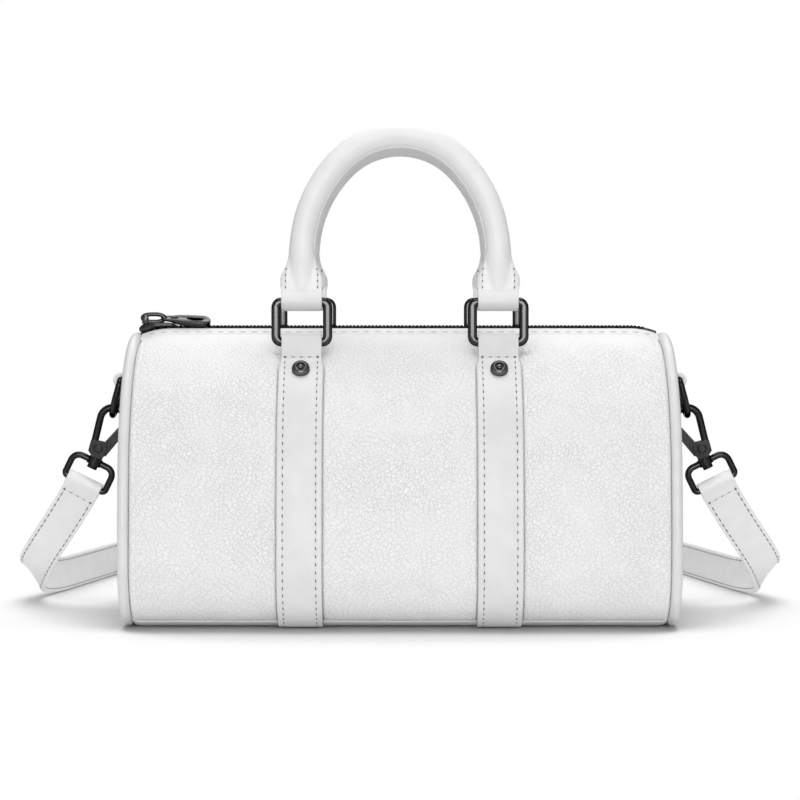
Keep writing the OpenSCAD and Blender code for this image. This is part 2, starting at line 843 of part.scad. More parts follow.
module hook_block() {
    slot_d = gate_d + 2 * gate_slot_gap;
    slot_t = -gate_hub_r - gate_slot_gap;
    difference() {
        translate([0, 0, -block_d / 2])
            linear_extrude(block_d) polygon([for (p = block_share) p * block_w]);
        // The slot that the gate turns in
        translate([slot_t, block_foot_s * 0.62, -slot_d / 2]) cube([block_w, block_w * 2, slot_d]);
    }
}

module swivel_post() {
    post_l = collar_l + 2 * collar_gap + post_head_t;
    translate([axis_t, block_foot_s + over / 2, 0]) rotate([90, 0, 0])
        cylinder(h = post_l + over / 2, d = post_d);
    translate([axis_t, block_foot_s - collar_l - 2 * collar_gap, 0]) rotate([90, 0, 0])
        cylinder(h = post_head_t, d = post_head_d);
    // A short neck keeps the block's foot flat on the collar
    translate([axis_t, block_foot_s + block_h * 0.1, 0]) rotate([90, 0, 0])
        cylinder(h = block_h * 0.1, d = block_d);
}

module gate() {
    color(METAL) hook_plane()
        translate([0, 0, -gate_d / 2])
            linear_extrude(gate_d)
                difference() {
                    union() {
                        circle(gate_hub_r);
                        intersection() {
                            polygon(concat(
                                [[0, 0.97 * gate_hub_r]],
                                [for (p = gate_inner_share) p * crown_s],
                                [for (p = gate_outer_share) p * crown_s],
                                [[0, -0.97 * gate_hub_r]]
                            ));
                            circle(gate_tip_r);
                        }
                    }
                    circle(d = pin_d + 2 * run_gap);
                }
}

module gate_pin() {
    color(METAL) hook_plane() {
        cylinder(h = block_d, d = pin_d, center = true);
        for (side = [0, 1])
            mirror([0, 0, side])
                translate([0, 0, block_d / 2]) {
                    cylinder(h = pin_head_t, d = pin_head_d);
                }
    }
}

// A leaf under the gate's heel pushes the gate shut
module gate_spring() {
    leaf_l = gate_hub_r * 1.6;
    color("silver") hook_plane()
        translate([-leaf_l / 2, -gate_hub_r - spring_t, -gate_d / 2])
            cube([leaf_l, spring_t, gate_d]);
}

module strap_frame() {
    color(METAL) hook_plane()
        difference() {
            union() {
                translate([axis_t, frame_top_s - frame_h / 2, 0])
                    wire_loop(frame_w, frame_h, frame_wire_d, frame_top_r, frame_foot_r);
                translate([axis_t, collar_s, 0]) rotate([90, 0, 0])
                    cylinder(h = collar_l, d = collar_d, center = true);
            }
            translate([axis_t, collar_s, 0]) rotate([90, 0, 0])
                cylinder(h = collar_l + 2 * over, d = post_d + 2 * run_gap, center = true);
        }
}

// Strap: points, directions and widths along the hanging run
function unit(v) = v / norm(v);
function flat_to(v, n) = unit(v - n * (v * n));
run_dir = flat_to([run_away[0], run_away[1], run_away[0] / tan(hook_lean)], across);
run_from = strap_bar_at + run_start_gap * run_dir;
run_to = [-stand_x, stand_y, strap_w / 2];
run_end_dir = [cos(stand_heading), sin(stand_heading), 0];
function run_point(u) =
    (2 * u ^ 3 - 3 * u ^ 2 + 1) * run_from + (u ^ 3 - 2 * u ^ 2 + u) * run_leave * run_dir
    + (3 * u ^ 2 - 2 * u ^ 3) * run_to + (u ^ 3 - u ^ 2) * run_arrive * run_end_dir;
function run_tangent(u) = unit(
    (6 * u ^ 2 - 6 * u) * (run_from - run_to) + (3 * u ^ 2 - 4 * u + 1) * run_leave * run_dir
    + (3 * u ^ 2 - 2 * u) * run_arrive * run_end_dir);
function eased(x) = let (c = min(max(x, 0), 1)) c * c * (3 - 2 * c);
function run_turn(u) =
    -hook_lean + (90 + hook_lean) * eased((u - twist_from_share) / (1 - twist_from_share));
function run_width(u) =
    flat_to([cos(run_turn(u)), 0, sin(run_turn(u))], run_tangent(u));
function run_thick(u) = u < doubled_share ? doubled_t : strap_t;
function run_ring(u) = let (
    p = run_point(u), w = run_width(u) * strap_w / 2,
    n = cross(run_tangent(u), run_width(u)) * run_thick(u) / 2)
    [p - w - n, p + w - n, p + w + n, p - w + n];

module strap_end() {
    points = [for (i = [0 : run_rings]) each run_ring(i / run_rings)];
    faces = concat(
        [[0, 1, 2], [0, 2, 3]],
        [for (i = [0 : run_rings - 1], k = [0 : 3])
            each let (a = 4 * i + k, b = 4 * i + (k + 1) % 4) [[a, a + 4, b], [b, a + 4, b + 4]]],
        [let (e = 4 * run_rings) each [[e, e + 2, e + 1], [e, e + 3, e + 2]]]);
    color(WHITE) {
        polyhedron(points, faces);
        hook_plane()
            translate([axis_t, frame_top_s - frame_h, 0])
                rotate([0, 90, 0])
                    difference() {
                        cylinder(h = strap_w, r = strap_loop_r, center = true);
                        cylinder(h = strap_w + 2 * over, d = frame_wire_d + 2 * run_gap, center = true);
                    }
    }
}

// The standing strap: a walk of straight lengths [length] and bends [radius, turn]
module strap_walk(steps, i = 0) {
    if (i < len(steps)) {
        step = steps[i];
        if (len(step) == 1) {
            translate([0, -strap_t / 2, 0]) cube([step[0], strap_t, strap_w]);
            translate([step[0], 0, 0]) strap_walk(steps, i + 1);
        } else {
            r = step[0];
            turn = abs(step[1]);
            hand = sign(step[1]);
            translate([0, hand * r, 0])
                rotate([0, 0, hand > 0 ? -90 : 90 - turn])
                    rotate_extrude(angle = turn)
                        translate([r - strap_t / 2, 0]) square([strap_t, strap_w]);
            translate([r * sin(turn), hand * r * (1 - cos(turn)), 0])
                rotate([0, 0, step[1]]) strap_walk(steps, i + 1);
        }
    }
}

module strap_middle() {
    bend = stand_heading;
    // The outer bend's reach, along and across the bag
    reach_x = outer_turn_r * sin(bend);
    reach_y = outer_turn_r * (1 - cos(bend));
    back_leg = lead_in + 2 * row_pitch / sin(bend);
    first_x = -stand_x + lead_in * cos(bend) + reach_x;
    last_x = stand_x - back_leg * cos(bend) - reach_x;
    color(WHITE)
        translate([-stand_x, stand_y, 0])
            rotate([0, 0, bend])
                strap_walk([
                    [lead_in], [outer_turn_r, -bend],
                    [row_half - first_x], [row_turn_r, 180],
                    [2 * row_half], [row_turn_r, -180],
                    [row_half + last_x], [outer_turn_r, -bend],
                    [back_leg]
                ]);
}

module mirrored_x() {
    mirror([1, 0, 0]) children();
}

module mirrored_y() {
    mirror([0, 1, 0]) children();
}

mirrored_y() back_wrap();  // front_panel
back_wrap();  // back_panel
base_panel();
mirrored_x() end_panel();  // left_end_panel
end_panel();  // right_end_panel
mirrored_x() piping();  // left_piping
piping();  // right_piping
lining();
base_board();
mirrored_y() back_placket();  // front_placket
back_placket();
mirrored_y() back_zip_tape();  // front_zip_tape
back_zip_tape();
front_zip_teeth();
back_zip_teeth();
zip_stops();
zip_slider();
pull_link();
pull_tab();
band(-1);  // left_band
band(1);  // right_band
band_rivets();
mirrored_y() ring(-1);  // front_left_ring
mirrored_y() ring(1);  // front_right_ring
ring(-1);  // back_left_ring
ring(1);  // back_right_ring
mirrored_y() back_handle();  // front_handle
back_handle();
mirrored_y() back_handle_core();  // front_handle_core
back_handle_core();
mirrored_y() handle_tab(-1);  // front_left_handle_tab
mirrored_y() handle_tab(1);  // front_right_handle_tab
handle_tab(-1);  // back_left_handle_tab
handle_tab(1);  // back_right_handle_tab
side_tab();  // left_side_tab
mirrored_x() side_tab();  // right_side_tab
d_ring();  // left_d_ring
mirrored_x() d_ring();  // right_d_ring
hook();  // left_hook
mirrored_x() hook();  // right_hook
gate();  // left_gate
mirrored_x() gate();  // right_gate
gate_pin();  // left_gate_pin
mirrored_x() gate_pin();  // right_gate_pin
gate_spring();  // left_gate_spring
mirrored_x() gate_spring();  // right_gate_spring
strap_frame();  // left_strap_frame
mirrored_x() strap_frame();  // right_strap_frame
strap_end();  // left_strap_end
mirrored_x() strap_end();  // right_strap_end
strap_middle();
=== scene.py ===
"""Barrel bag: leather, stitches, finishes, floor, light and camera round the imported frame.
Lengths are in millimetres until a mesh is made. X runs along the zip, Y to the back, Z up."""
import math

import bmesh
import bpy
import numpy as np
from mathutils import Matrix, Vector


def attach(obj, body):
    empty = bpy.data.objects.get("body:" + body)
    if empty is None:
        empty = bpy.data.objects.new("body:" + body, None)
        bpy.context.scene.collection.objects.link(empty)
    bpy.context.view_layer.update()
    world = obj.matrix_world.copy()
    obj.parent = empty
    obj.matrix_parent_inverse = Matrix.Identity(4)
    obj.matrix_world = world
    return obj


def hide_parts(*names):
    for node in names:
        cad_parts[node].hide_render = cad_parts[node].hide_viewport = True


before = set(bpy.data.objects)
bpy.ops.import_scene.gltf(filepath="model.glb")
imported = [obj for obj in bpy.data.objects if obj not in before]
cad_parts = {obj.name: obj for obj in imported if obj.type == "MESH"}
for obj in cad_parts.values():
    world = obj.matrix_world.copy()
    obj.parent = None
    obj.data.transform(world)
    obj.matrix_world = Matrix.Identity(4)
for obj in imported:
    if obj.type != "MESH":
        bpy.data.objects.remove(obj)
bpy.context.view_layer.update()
MM = 0.001
ALONG, ACROSS, UP = (1.0, 0.0, 0.0), (0.0, 1.0, 0.0), (0.0, 0.0, 1.0)
ENDS = (("left", -1), ("right", 1))
FACES = (("front", -1), ("back", 1))

# Body, seen from the end
SEAM_X = 120.0
DOME_R = 67.0
DOME_Z = 65.0
SIDE_HALF = 70.0
CORNER_R = 30.0
BASE_HALF = 40.0
SIDE_RISE = DOME_Z - CORNER_R
SIDE_R = (SIDE_HALF**2 + SIDE_RISE**2 - DOME_R**2) / (2 * (SIDE_HALF - DOME_R))
SIDE_ANGLE = math.degrees(math.atan2(SIDE_RISE, SIDE_R - SIDE_HALF))
PANEL_TURN = 8.0
SEAM_TURN = 154.2
WRAP_T = 2.0
BASE_T = 3.0
PIPING_R = 2.5
END_CENTRE = np.array((0.0, 66.0))
END_REACH = 62.0
END_BACK_X, END_RIM_X, END_FACE_X = 118.0, 119.4, 121.9
# Lining: half its opening, and its inset, floor and half length, outside and inside
LINING_MOUTH, LINING_OUTER, LINING_INNER = 11.8, (3.3, 4.8, 117.7), (4.1, 5.6, 116.9)
# How the leather rolls into its seams: width and drop
PANEL_ROLL, PANEL_FOOT_ROLL, BASE_ROLL, END_ROLL = (1.8, 3.1), (1.2, 0.9), (3.6, 1.6), (4.5, 1.1)
DROOP_FROM, DROOP_WAY, DROOP = 107.0, 12.0, 2.3

# Bands and rings
BAND_X = 44.5
BAND_W = 20.0
BAND_LOOP_W = 18.2
BAND_T = 1.8
BAND_ROW, BAND_PITCH = 7.35, 3.55
RING_Y = 34.4
RING_Z = 128.02
RING_HALF_X, RING_HALF_Z, RING_CORNER_R = 11.7, 9.1, 2.52
RING_WIRE_R, RING_EDGE_R, RING_FLAT = 2.1, 1.55, 0.55
BAR_Z = 146.22
BORE_R = 2.15
LOOP_R = 4.3
LOOP_MIDDLE_R = (BORE_R + LOOP_R) / 2
TAB_W = 18.41
ROW_ANGLE = 35.0
RIVET_ANGLE = 41.3
RIVET_LEAN = math.radians(RIVET_ANGLE + 15.0)

# Zip
TAPE_TOP = 133.2
CHAIN_W = 234.0
TOOTH_PITCH = 3.45
# Where the zip's stops lie along X, and how wide and high they are
RIGHT_STOP_X, RIGHT_STOP = (113.0, 119.4), (6.2, 1.9)
LEFT_STOP_X, LEFT_STOP, LEFT_STOP_Y = (-120.9, -119.1), (2.2, 1.7), 2.2
PLACKET_STITCHES, PLACKET_PITCH, PLACKET_ROW = 45, 5.2, (8.2, 132.33)
LINK_PIN = (-118.8, 138.75)
LINK_MIDDLE = (-115.05, 138.75)
PULL_AT = (-111.6, 138.75)
PULL_ROLL = math.radians(25.0)
PULL_PITCH = math.radians(4.4)

# Handles
SLAB_Z = BAR_Z + 5.5
LEG_Z = BAR_Z + 22.0
GRIP_R = 5.5
GRIP_SEAM_R, GRIP_SEAM_Z = 0.42, 170.0
ARCH_TOP_R = 38.0
ARCH_DROP = 15.6
ARCH_SIDE_R = (ARCH_DROP**2 + BAND_X**2 - ARCH_TOP_R**2) / (2 * (BAND_X - ARCH_TOP_R))
ARCH_SIDE_ANGLE = math.degrees(math.atan2(ARCH_DROP, ARCH_SIDE_R - BAND_X))

# Side tabs, hooks and strap
D_BAR = (-129.8, 109.8)
D_WIRE_R = 1.5
SIDE_TAB_W, SIDE_TAB_T, SIDE_TAB_ROW, SIDE_TAB_PITCH = 13.0, 2.2, 4.7, 3.1
SIDE_TAB_SEWN = (1.6, 15.0)
HOOK_PIVOT = (140.95, 2.7, 77.79)
HOOK_LEAN = math.radians(26.0)
FRAME_BAR = np.array((-147.82, 0.0, 61.42))
FRAME_WIRE_R = 1.5
STRAP_W = 17.0
STRAP_T = 2.4
STRAP_FOLD_T = 1.8
STRAP_ROW, STRAP_PITCH = 6.9, 4.1
STAND = np.array((-168.0, 108.0))
STAND_HEADING = 77.1
# The standing strap: its wide and tight bends, how far its rows reach, and its straight lengths
WIDE_BEND_R, TIGHT_BEND_R = 22, 15
ROWS_TO_X, ROW_LENGTH = 100, 200
FIRST_LENGTH, LAST_ROW_TO_X, LAST_LENGTH = 62, 118.97, 123.55

# Thread, and the holes the needle left as dark dots of painted shade, and how far they stand out of
# the leather
THREAD_W, THREAD_H, THREAD_SINK = 0.58, 0.44, -0.04
HOLE_W, HOLE_H, HOLE_SINK = 0.54, 0.2, -0.02

# Light on the floor and from the studio's walls
FLOOR_NEAR, FLOOR_FAR, FLOOR_SEEN = (0.9,) * 3, (0.36,) * 3, (0.56,) * 3
SKY_BESIDE, SKY_FRONT = 0.34, 0.8


# ---------------------------------------------------------------- finishes

def add(tree, kind, inputs=None, **settings):
    """A node of that kind. Inputs are values, or sockets to link from."""
    node = tree.nodes.new(kind)
    for key, value in settings.items():
        setattr(node, key, value)
    for key, value in (inputs or {}).items():
        if isinstance(value, bpy.types.NodeSocket):
            tree.links.new(value, node.inputs[key])
        else:
            node.inputs[key].default_value = value
    return node


class Finish:
    """A material in the making: one shader, with constants straight on the shader's sockets."""

    def __init__(self, name, colour, roughness, metallic=0.0, **sockets):
        self.material = bpy.data.materials.new(name)
        self.material.use_nodes = True
        self.material.diffuse_color = (*colour, 1)
        self.tree = self.material.node_tree
        self.shader = self.tree.nodes["Principled BSDF"]
        self.shader.inputs["Base Color"].default_value = (*colour, 1)
        self.shader.inputs["Roughness"].default_value = roughness
        self.shader.inputs["Metallic"].default_value = metallic
        for key, value in sockets.items():
            socket = key.replace("_", " ").title().replace("Ior", "IOR")
            self.shader.inputs[socket].default_value = value

    def add(self, kind, inputs=None, **settings):
        return add(self.tree, "ShaderNode" + kind, inputs, **settings)

    def where(self, kind="Object"):
        return self.add("TexCoord").outputs[kind]

    def part(self, vector, axis):
        return self.add("SeparateXYZ", {"Vector": vector}).outputs[axis]

    def noise(self, at, scale, detail=2.0, roughness=0.5):
        return self.add("TexNoise", {"Vector": at, "Scale": scale, "Detail": detail,
                                     "Roughness": roughness}).outputs["Fac"]

    def ranged(self, value, low, high, to_low=0.0, to_high=1.0):
        return self.add("MapRange", {"Value": value, "From Min": low, "From Max": high,
                                     "To Min": to_low, "To Max": to_high},
                        interpolation_type="SMOOTHSTEP").outputs["Result"]

    def math(self, operation, first, second):
        return self.add("Math", {0: first, 1: second}, operation=operation).outputs[0]

    def vector(self, operation, inputs):
        return self.add("VectorMath", inputs, operation=operation).outputs[0]

    def tinted(self, factor, dark, light):
        """A colour between two, by a factor. Each is three numbers or a socket."""
        dark, light = (c if isinstance(c, bpy.types.NodeSocket) else (*c, 1.0)
                       for c in (dark, light))
        return self.add("Mix", {0: factor, 6: dark, 7: light}, data_type="RGBA").outputs[2]

    def wire(self, source, socket):
        self.tree.links.new(source, self.shader.inputs[socket])

    def bumped(self, height, strength, depth, **given):
        inputs = {"Height": height, "Strength": strength, "Distance": depth, **given}
        self.wire(self.add("Bump", inputs).outputs["Normal"], "Normal")


def pebbled_leather():
    """White leather, pressed with fine long pebbles that lean both ways, patch by patch.
    The grain fades towards the zip, where the leather is drawn smooth."""
    f = Finish("pebbled leather", (0.83, 0.83, 0.835), 0.5, specular_ior_level=0.42)
    flat = f.where("UV")
    sway = f.add("TexNoise", {"Vector": flat, "Scale": 120.0, "Detail": 3.0}).outputs["Color"]
    sway = f.vector("SCALE", {0: f.vector("SUBTRACT", {0: sway, 1: (0.5, 0.5, 0.5)}), 3: 0.0034})
    swayed = f.vector("ADD", {0: flat, 1: sway})
    leaning = []
    for lean in (36, -47):
        turned = f.add("Mapping", {"Vector": swayed, "Rotation": (0, 0, math.radians(lean)),
                                   "Scale": (1.9, 0.95, 1.0)},
                       vector_type="TEXTURE").outputs["Vector"]
        cells = f.add("TexVoronoi", {"Vector": turned, "Scale": 720.0, "Randomness": 0.88},
                      voronoi_dimensions="2D", feature="DISTANCE_TO_EDGE").outputs["Distance"]
        leaning.append(f.ranged(cells, 0.0, 0.2))
    patch = f.ranged(f.noise(flat, 62.0), 0.44, 0.56)
    pebble = f.math("ADD", f.math("MULTIPLY", leaning[0], patch),
                    f.math("MULTIPLY", leaning[1], f.math("SUBTRACT", 1.0, patch)))
    depth = f.math("MULTIPLY", f.ranged(f.noise(flat, 34.0), 0.3, 0.7, 0.72, 1.0),
                   f.ranged(f.part(flat, 1), 0.01, 0.035, 0.2, 1.0))
    fine = f.math("MULTIPLY", f.noise(flat, 2600.0, 3.0, 0.6), 0.12)
    f.bumped(f.math("ADD", f.math("MULTIPLY", pebble, depth), fine), 0.75, 0.00026)
    # The creases between the pebbles are painted darker, as the shade in them
    crease = f.math("MULTIPLY", f.math("SUBTRACT", 1.0, pebble), depth)
    f.wire(f.tinted(crease, (0.85, 0.85, 0.855), (0.7, 0.7, 0.71)), "Base Color")
    f.wire(f.ranged(crease, 0.0, 1.0, 0.44, 0.58), "Roughness")
    return f.material


def smooth_leather(name, tone, painted_shade=None):
    """White calf leather with a fine pore and soft unevenness. A painted shade is two heights in
    metres:
    the leather is painted darker below the first, as shade, and has its own tone above the second."""
    f = Finish(name, (tone, tone, tone + 0.005), 0.4, specular_ior_level=0.45)
    at = f.where()
    pores, soft = f.noise(at, 1900.0, 3.0, 0.65), f.noise(at, 120.0, 3.0)
    f.bumped(f.math("ADD", f.math("MULTIPLY", pores, 0.3), soft), 0.2, 0.0003)
    colour = f.tinted(f.ranged(soft, 0.3, 0.7), (tone - 0.02, tone - 0.02, tone - 0.015),
                      (tone + 0.015, tone + 0.015, tone + 0.02))
    if painted_shade:
        # Painted shade: darker towards the bottom, where the leather turns under a bar
        colour = f.tinted(f.ranged(f.part(at, 2), *painted_shade), (0.6, 0.6, 0.605), colour)
    f.wire(colour, "Base Color")
    f.wire(f.ranged(pores, 0.3, 0.7, 0.36, 0.5), "Roughness")
    return f.material


def gunmetal(name, dark, light, roughness, rim):
    """Dark plated metal: faint patches in the polish, every edge a little rounded, and a rim
    tint that holds back the white studio where it is seen at a slant."""
    f = Finish(name, light, roughness, 1.0, specular_tint=(rim, rim, rim, 1.0))
    at = f.where()
    patch = f.noise(at, 210.0, 3.0)
    f.wire(f.tinted(patch, dark, light), "Base Color")
    f.wire(f.ranged(patch, 0.3, 0.7, roughness * 0.9, roughness * 1.15), "Roughness")
    worn = f.add("Bevel", {"Radius": 0.00022}, samples=6).outputs[0]
    f.bumped(f.noise(at, 2400.0), 0.03, 0.0001, Normal=worn)
    return f.material


def bright_steel():
    """Bare spring steel, uneven in its polish."""
    f = Finish("spring steel", (0.5, 0.5, 0.52), 0.3, 1.0)
    patch = f.noise(f.where(), 900.0)
    f.wire(f.ranged(patch, 0.3, 0.7, 0.22, 0.38), "Roughness")
    f.wire(f.tinted(patch, (0.42, 0.42, 0.44), (0.56, 0.56, 0.57)), "Base Color")
    return f.material


def woven(name, dark, light, along, across):
    """Plain weave on the UV map, in metres: warp and weft at those pitches."""
    f = Finish(name, light, 0.85, sheen_weight=0.15, specular_ior_level=0.25)
    parts = f.add("SeparateXYZ", {"Vector": f.where("UV")}).outputs
    waves = []
    for part, pitch in ((parts[0], along), (parts[1], across)):
        angle = f.math("MULTIPLY", part, 2 * math.pi / pitch)
        waves.append(f.add("Math", {0: angle}, operation="SINE").outputs[0])
    thread = f.math("MULTIPLY", *waves)
    f.wire(f.tinted(f.ranged(thread, -1.0, 1.0), dark, light), "Base Color")
    f.bumped(thread, 0.4, 0.0001)
    return f.material


def fibrous(name, dark, light, roughness, grain, depth, **sockets):
    """Thread, cord or board: fibres of two tones. The grain is a noise's scale and more."""
    f = Finish(name, light, roughness, **sockets)
    fibre = f.noise(f.where(), *grain)
    f.wire(f.tinted(fibre, dark, light), "Base Color")
    if depth:
        f.bumped(fibre, 0.4, depth)
    return f.material


def greys(*tones):
    """Colours from pairs of red and green in one number, and blue."""
    return [(grey, grey, blue) for grey, blue in tones]


PEBBLED = pebbled_leather()
SMOOTH = smooth_leather("strap leather", 0.87)
GRIP = smooth_leather("handle leather", 0.87)
# The back handle: the same leather as the front one, painted darker as the shade it lies in
SHADED_BACK_GRIP = smooth_leather("back handle leather painted shade", 0.72)
# Trim: the same smooth leather as the grips and strap, painted darker as shade, for bands, piping,
# plackets and base
SHADED_TRIM = smooth_leather("trim leather painted shade", 0.725)
# Loop leather: painted darker below the ring's bar, as the shade under it
LOOP = smooth_leather("loop leather", 0.85, (0.1415, 0.1505))
GUNMETAL = gunmetal("gunmetal", *greys((0.027, 0.028), (0.042, 0.044)), 0.13, 0.25)
RING_METAL = gunmetal("polished gunmetal", *greys((0.041, 0.042), (0.054, 0.055)), 0.1, 0.01)
TEETH_METAL = gunmetal("blackened teeth", *greys((0.01, 0.011), (0.018, 0.019)), 0.4, 0.2)
ZIP_METAL = gunmetal("blackened zip metal", *greys((0.045, 0.047), (0.066, 0.068)), 0.2, 1.0)
RIVET_METAL = gunmetal("brushed rivet", *greys((0.1, 0.102), (0.14, 0.143)), 0.3, 0.3)
STEEL = bright_steel()
TAPE = woven("zip tape weave", *greys((0.52, 0.53), (0.74, 0.75)), 0.0007, 0.0009)
CLOTH = woven("lining weave", *greys((0.2, 0.21), (0.33, 0.34)), 0.0005, 0.0005)
STRANDS = (2400.0, 2.0)
THREAD = fibrous("white thread", *greys((0.66, 0.67), (0.84, 0.845)), 0.6, STRANDS, 0.0001,
                 sheen_weight=0.2)
GREY_THREAD = fibrous("grey thread", *greys((0.36, 0.37), (0.5, 0.51)), 0.6, STRANDS, 0.0001,
                      sheen_weight=0.2)
FLECKS = (420.0, 4.0, 0.7)
BOARD = fibrous("stiffening board", (0.32, 0.22, 0.13), (0.5, 0.38, 0.25), 0.9, FLECKS, 0.0002)
CORD = fibrous("handle cord", (0.5, 0.44, 0.34), (0.68, 0.61, 0.5), 0.9, FLECKS, 0.0002)
# Needle holes: dark dots of painted shade, laid on the leather where the holes are
HOLE_SHADE = fibrous("needle hole shade", (0.08, 0.08, 0.08), (0.17, 0.165, 0.16), 0.9, (900.0,), None)


# ---------------------------------------------------------------- lines and sections

def eased(x):
    """From 0 to 1, with no slope at either end."""
    c = np.clip(x, 0, 1)
    return c * c * (3 - 2 * c)


def unit(v):
    v = np.asarray(v, float)
    return v / np.maximum(np.linalg.norm(v, axis=-1, keepdims=True), 1e-12)


def walked(path):
    """How far along the path each of its points lies."""
    steps = np.linalg.norm(np.diff(path, axis=0), axis=1)
    return np.concatenate([[0], np.cumsum(steps)])


def directions(path, closed=False):
    path = np.asarray(path, float)
    if closed:
        return unit(np.roll(path, -1, axis=0) - np.roll(path, 1, axis=0))
    return unit(np.gradient(path, axis=0))


def evened(path, step):
    """The same path with points about a step apart."""
    path = np.asarray(path, float)
    path = path[np.concatenate([[True], np.diff(walked(path)) > 1e-6])]
    along = walked(path)
    places = np.linspace(0, along[-1], max(int(round(along[-1] / step)), 2) + 1)
    return np.stack([np.interp(places, along, column) for column in path.T], -1)


def softened(path, passes):
    """Corners of a path eased by averaging; the ends stay."""
    path = np.array(path, float)
    for _ in range(passes):
        path[1:-1] = path[1:-1] * 0.5 + (path[:-2] + path[2:]) * 0.25
    return path


def levelled(values, reach):
    """Sizes along a path, each averaged with that many neighbours on both sides."""
    window = np.ones(2 * reach + 1) / (2 * reach + 1)
    return np.convolve(np.pad(values, reach, mode="edge"), window, mode="valid")


def at_x(x, line):
    """A line (Y, Z), placed at that X."""
    return np.insert(np.asarray(line, float), 0, x, axis=1)


def at_y(y, line):
    """A line (X, Z), placed at that Y."""
    return np.insert(np.asarray(line, float), 1, y, axis=1)


def arc(radius, first, last, count, centre=(0.0, 0.0)):
    """Points on a circle, between two angles in degrees."""
    a = np.radians(np.linspace(first, last, count))
    return np.asarray(centre) + radius * np.stack([np.cos(a), np.sin(a)], -1)


def rounded(radius, sides):
    return arc(radius, 0, 360, sides + 1)[:-1]


def squarish(count, *powers):
    """A round section whose sides are fuller, by a power below 1 for each way."""
    circle = rounded(1.0, count)
    return np.sign(circle) * np.abs(circle) ** powers


def leather_section(width, thickness, row=None, edge=0.3):
    """A strip's section: round edges, and a shallow valley along each row of stitches."""
    a, b, r = width / 2, thickness / 2, thickness * edge
    right = arc(r, 0, 90, 4, (a - r, b - r))
    if row is None:
        inside, drop = [0.55 * (a - r), 0.5 * (a - r), 0.45 * (a - r)], 0.0
    else:
        inside, drop = [row + 0.7, row, row - 0.7], min(0.16, thickness * 0.1)
    top = [(inside[0], b), (inside[1], b - drop), (inside[2], b), (0.0, b)]
    half = np.concatenate([right, top])
    upper = np.concatenate([half, half[-2::-1] * (-1, 1)])
    return np.concatenate([upper, upper[::-1] * (1, -1)])


# ---------------------------------------------------------------- mesh making

def placed(name, mesh, body, stands_for=None):
    """Puts a mesh in the scene, on its body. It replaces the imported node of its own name, where
    there is one, or those that it stands for."""
    piece = bpy.data.objects.new(name, mesh)
    bpy.context.scene.collection.objects.link(piece)
    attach(piece, body)
    nodes = stands_for or [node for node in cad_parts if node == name]
    if nodes:
        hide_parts(*nodes)


def make(name, body, material, shape, crease=38.0, stands_for=None):
    """A closed piece in its place: doubles merged, normals outward, smooth between creases."""
    points, faces, flat = shape
    mesh = bpy.data.meshes.new(name)
    mesh.from_pydata((np.asarray(points, float) * MM).tolist(), [],
                     [list(map(int, face)) for face in faces])
    layer = mesh.uv_layers.new(name="flat")
    corners = np.zeros(len(mesh.loops), int)
    mesh.loops.foreach_get("vertex_index", corners)
    layer.data.foreach_set("uv", (np.asarray(flat, float)[corners] * MM).ravel())
    mesh.materials.append(material)
    work = bmesh.new()
    work.from_mesh(mesh)
    bmesh.ops.remove_doubles(work, verts=work.verts, dist=2e-6)
    bmesh.ops.dissolve_degenerate(work, edges=work.edges, dist=1e-6)
    bmesh.ops.recalc_face_normals(work, faces=work.faces)
    work.to_mesh(mesh)
    work.free()
    mesh.polygons.foreach_set("use_smooth", [True] * len(mesh.polygons))
    mesh.set_sharp_from_angle(angle=math.radians(crease))
    placed(name, mesh, body, stands_for)


def grid_faces(rows, columns, closed=False, ends=False):
    """Quads of a grid of points. Closed joins the last column to the first, and ends adds a face
    over the first row and over the last."""
    faces = []
    for i in range(rows - 1):
        for j in range(columns if closed else columns - 1):
            k = (j + 1) % columns
            faces.append((i * columns + j, i * columns + k, (i + 1) * columns + k,
                          (i + 1) * columns + j))
    if ends:
        faces += [tuple(range(columns)), tuple((rows - 1) * columns + j for j in range(columns))]
    return faces


def shell(outer, inner, flat):
    """A sheet with thickness between two grids: points, faces and flat coordinates."""
    rows, columns = outer.shape[:2]
    count = rows * columns
    faces = grid_faces(rows, columns)
    faces += [tuple(v + count for v in reversed(face)) for face in faces]
    numbers = np.arange(count).reshape(rows, columns)
    rim = np.concatenate([numbers[:, 0], numbers[-1, 1:], numbers[-2::-1, -1], numbers[0, -2:0:-1]])
    faces += [(a, a + count, b + count, b) for a, b in zip(rim, np.roll(rim, -1))]
    points = np.concatenate([outer.reshape(-1, 3), inner.reshape(-1, 3)])
    return points, faces, np.concatenate([flat.reshape(-1, 2)] * 2)


def swept(centres, sides, ups, sections, closed=False):
    """Sections (across, out) carried along a path: points, faces, flat coordinates. The ways
    across and out, and the section, are one for the whole path or one for each point."""
    centres, sections = np.asarray(centres, float), np.asarray(sections, float)
    sides, ups = (np.broadcast_to(np.asarray(v, float), centres.shape) for v in (sides, ups))
    sections = np.broadcast_to(sections, (len(centres), *sections.shape[-2:]))
    rows, columns = sections.shape[:2]
    grid = (centres[:, None] + sections[..., :1] * sides[:, None]
            + sections[..., 1:] * ups[:, None])
    steps = np.linalg.norm(sections - np.roll(sections, 1, axis=1), axis=2)
    steps[:, 0] = 0
    flat = np.stack([np.cumsum(steps, axis=1), np.repeat(walked(centres)[:, None], columns, 1)], -1)
    faces = grid_faces(rows, columns, closed=True, ends=not closed)
    if closed:
        last = (rows - 1) * columns
        for j in range(columns):
            k = (j + 1) % columns
            faces.append((last + j, last + k, k, j))
    return grid.reshape(-1, 3), faces, flat.reshape(-1, 2)


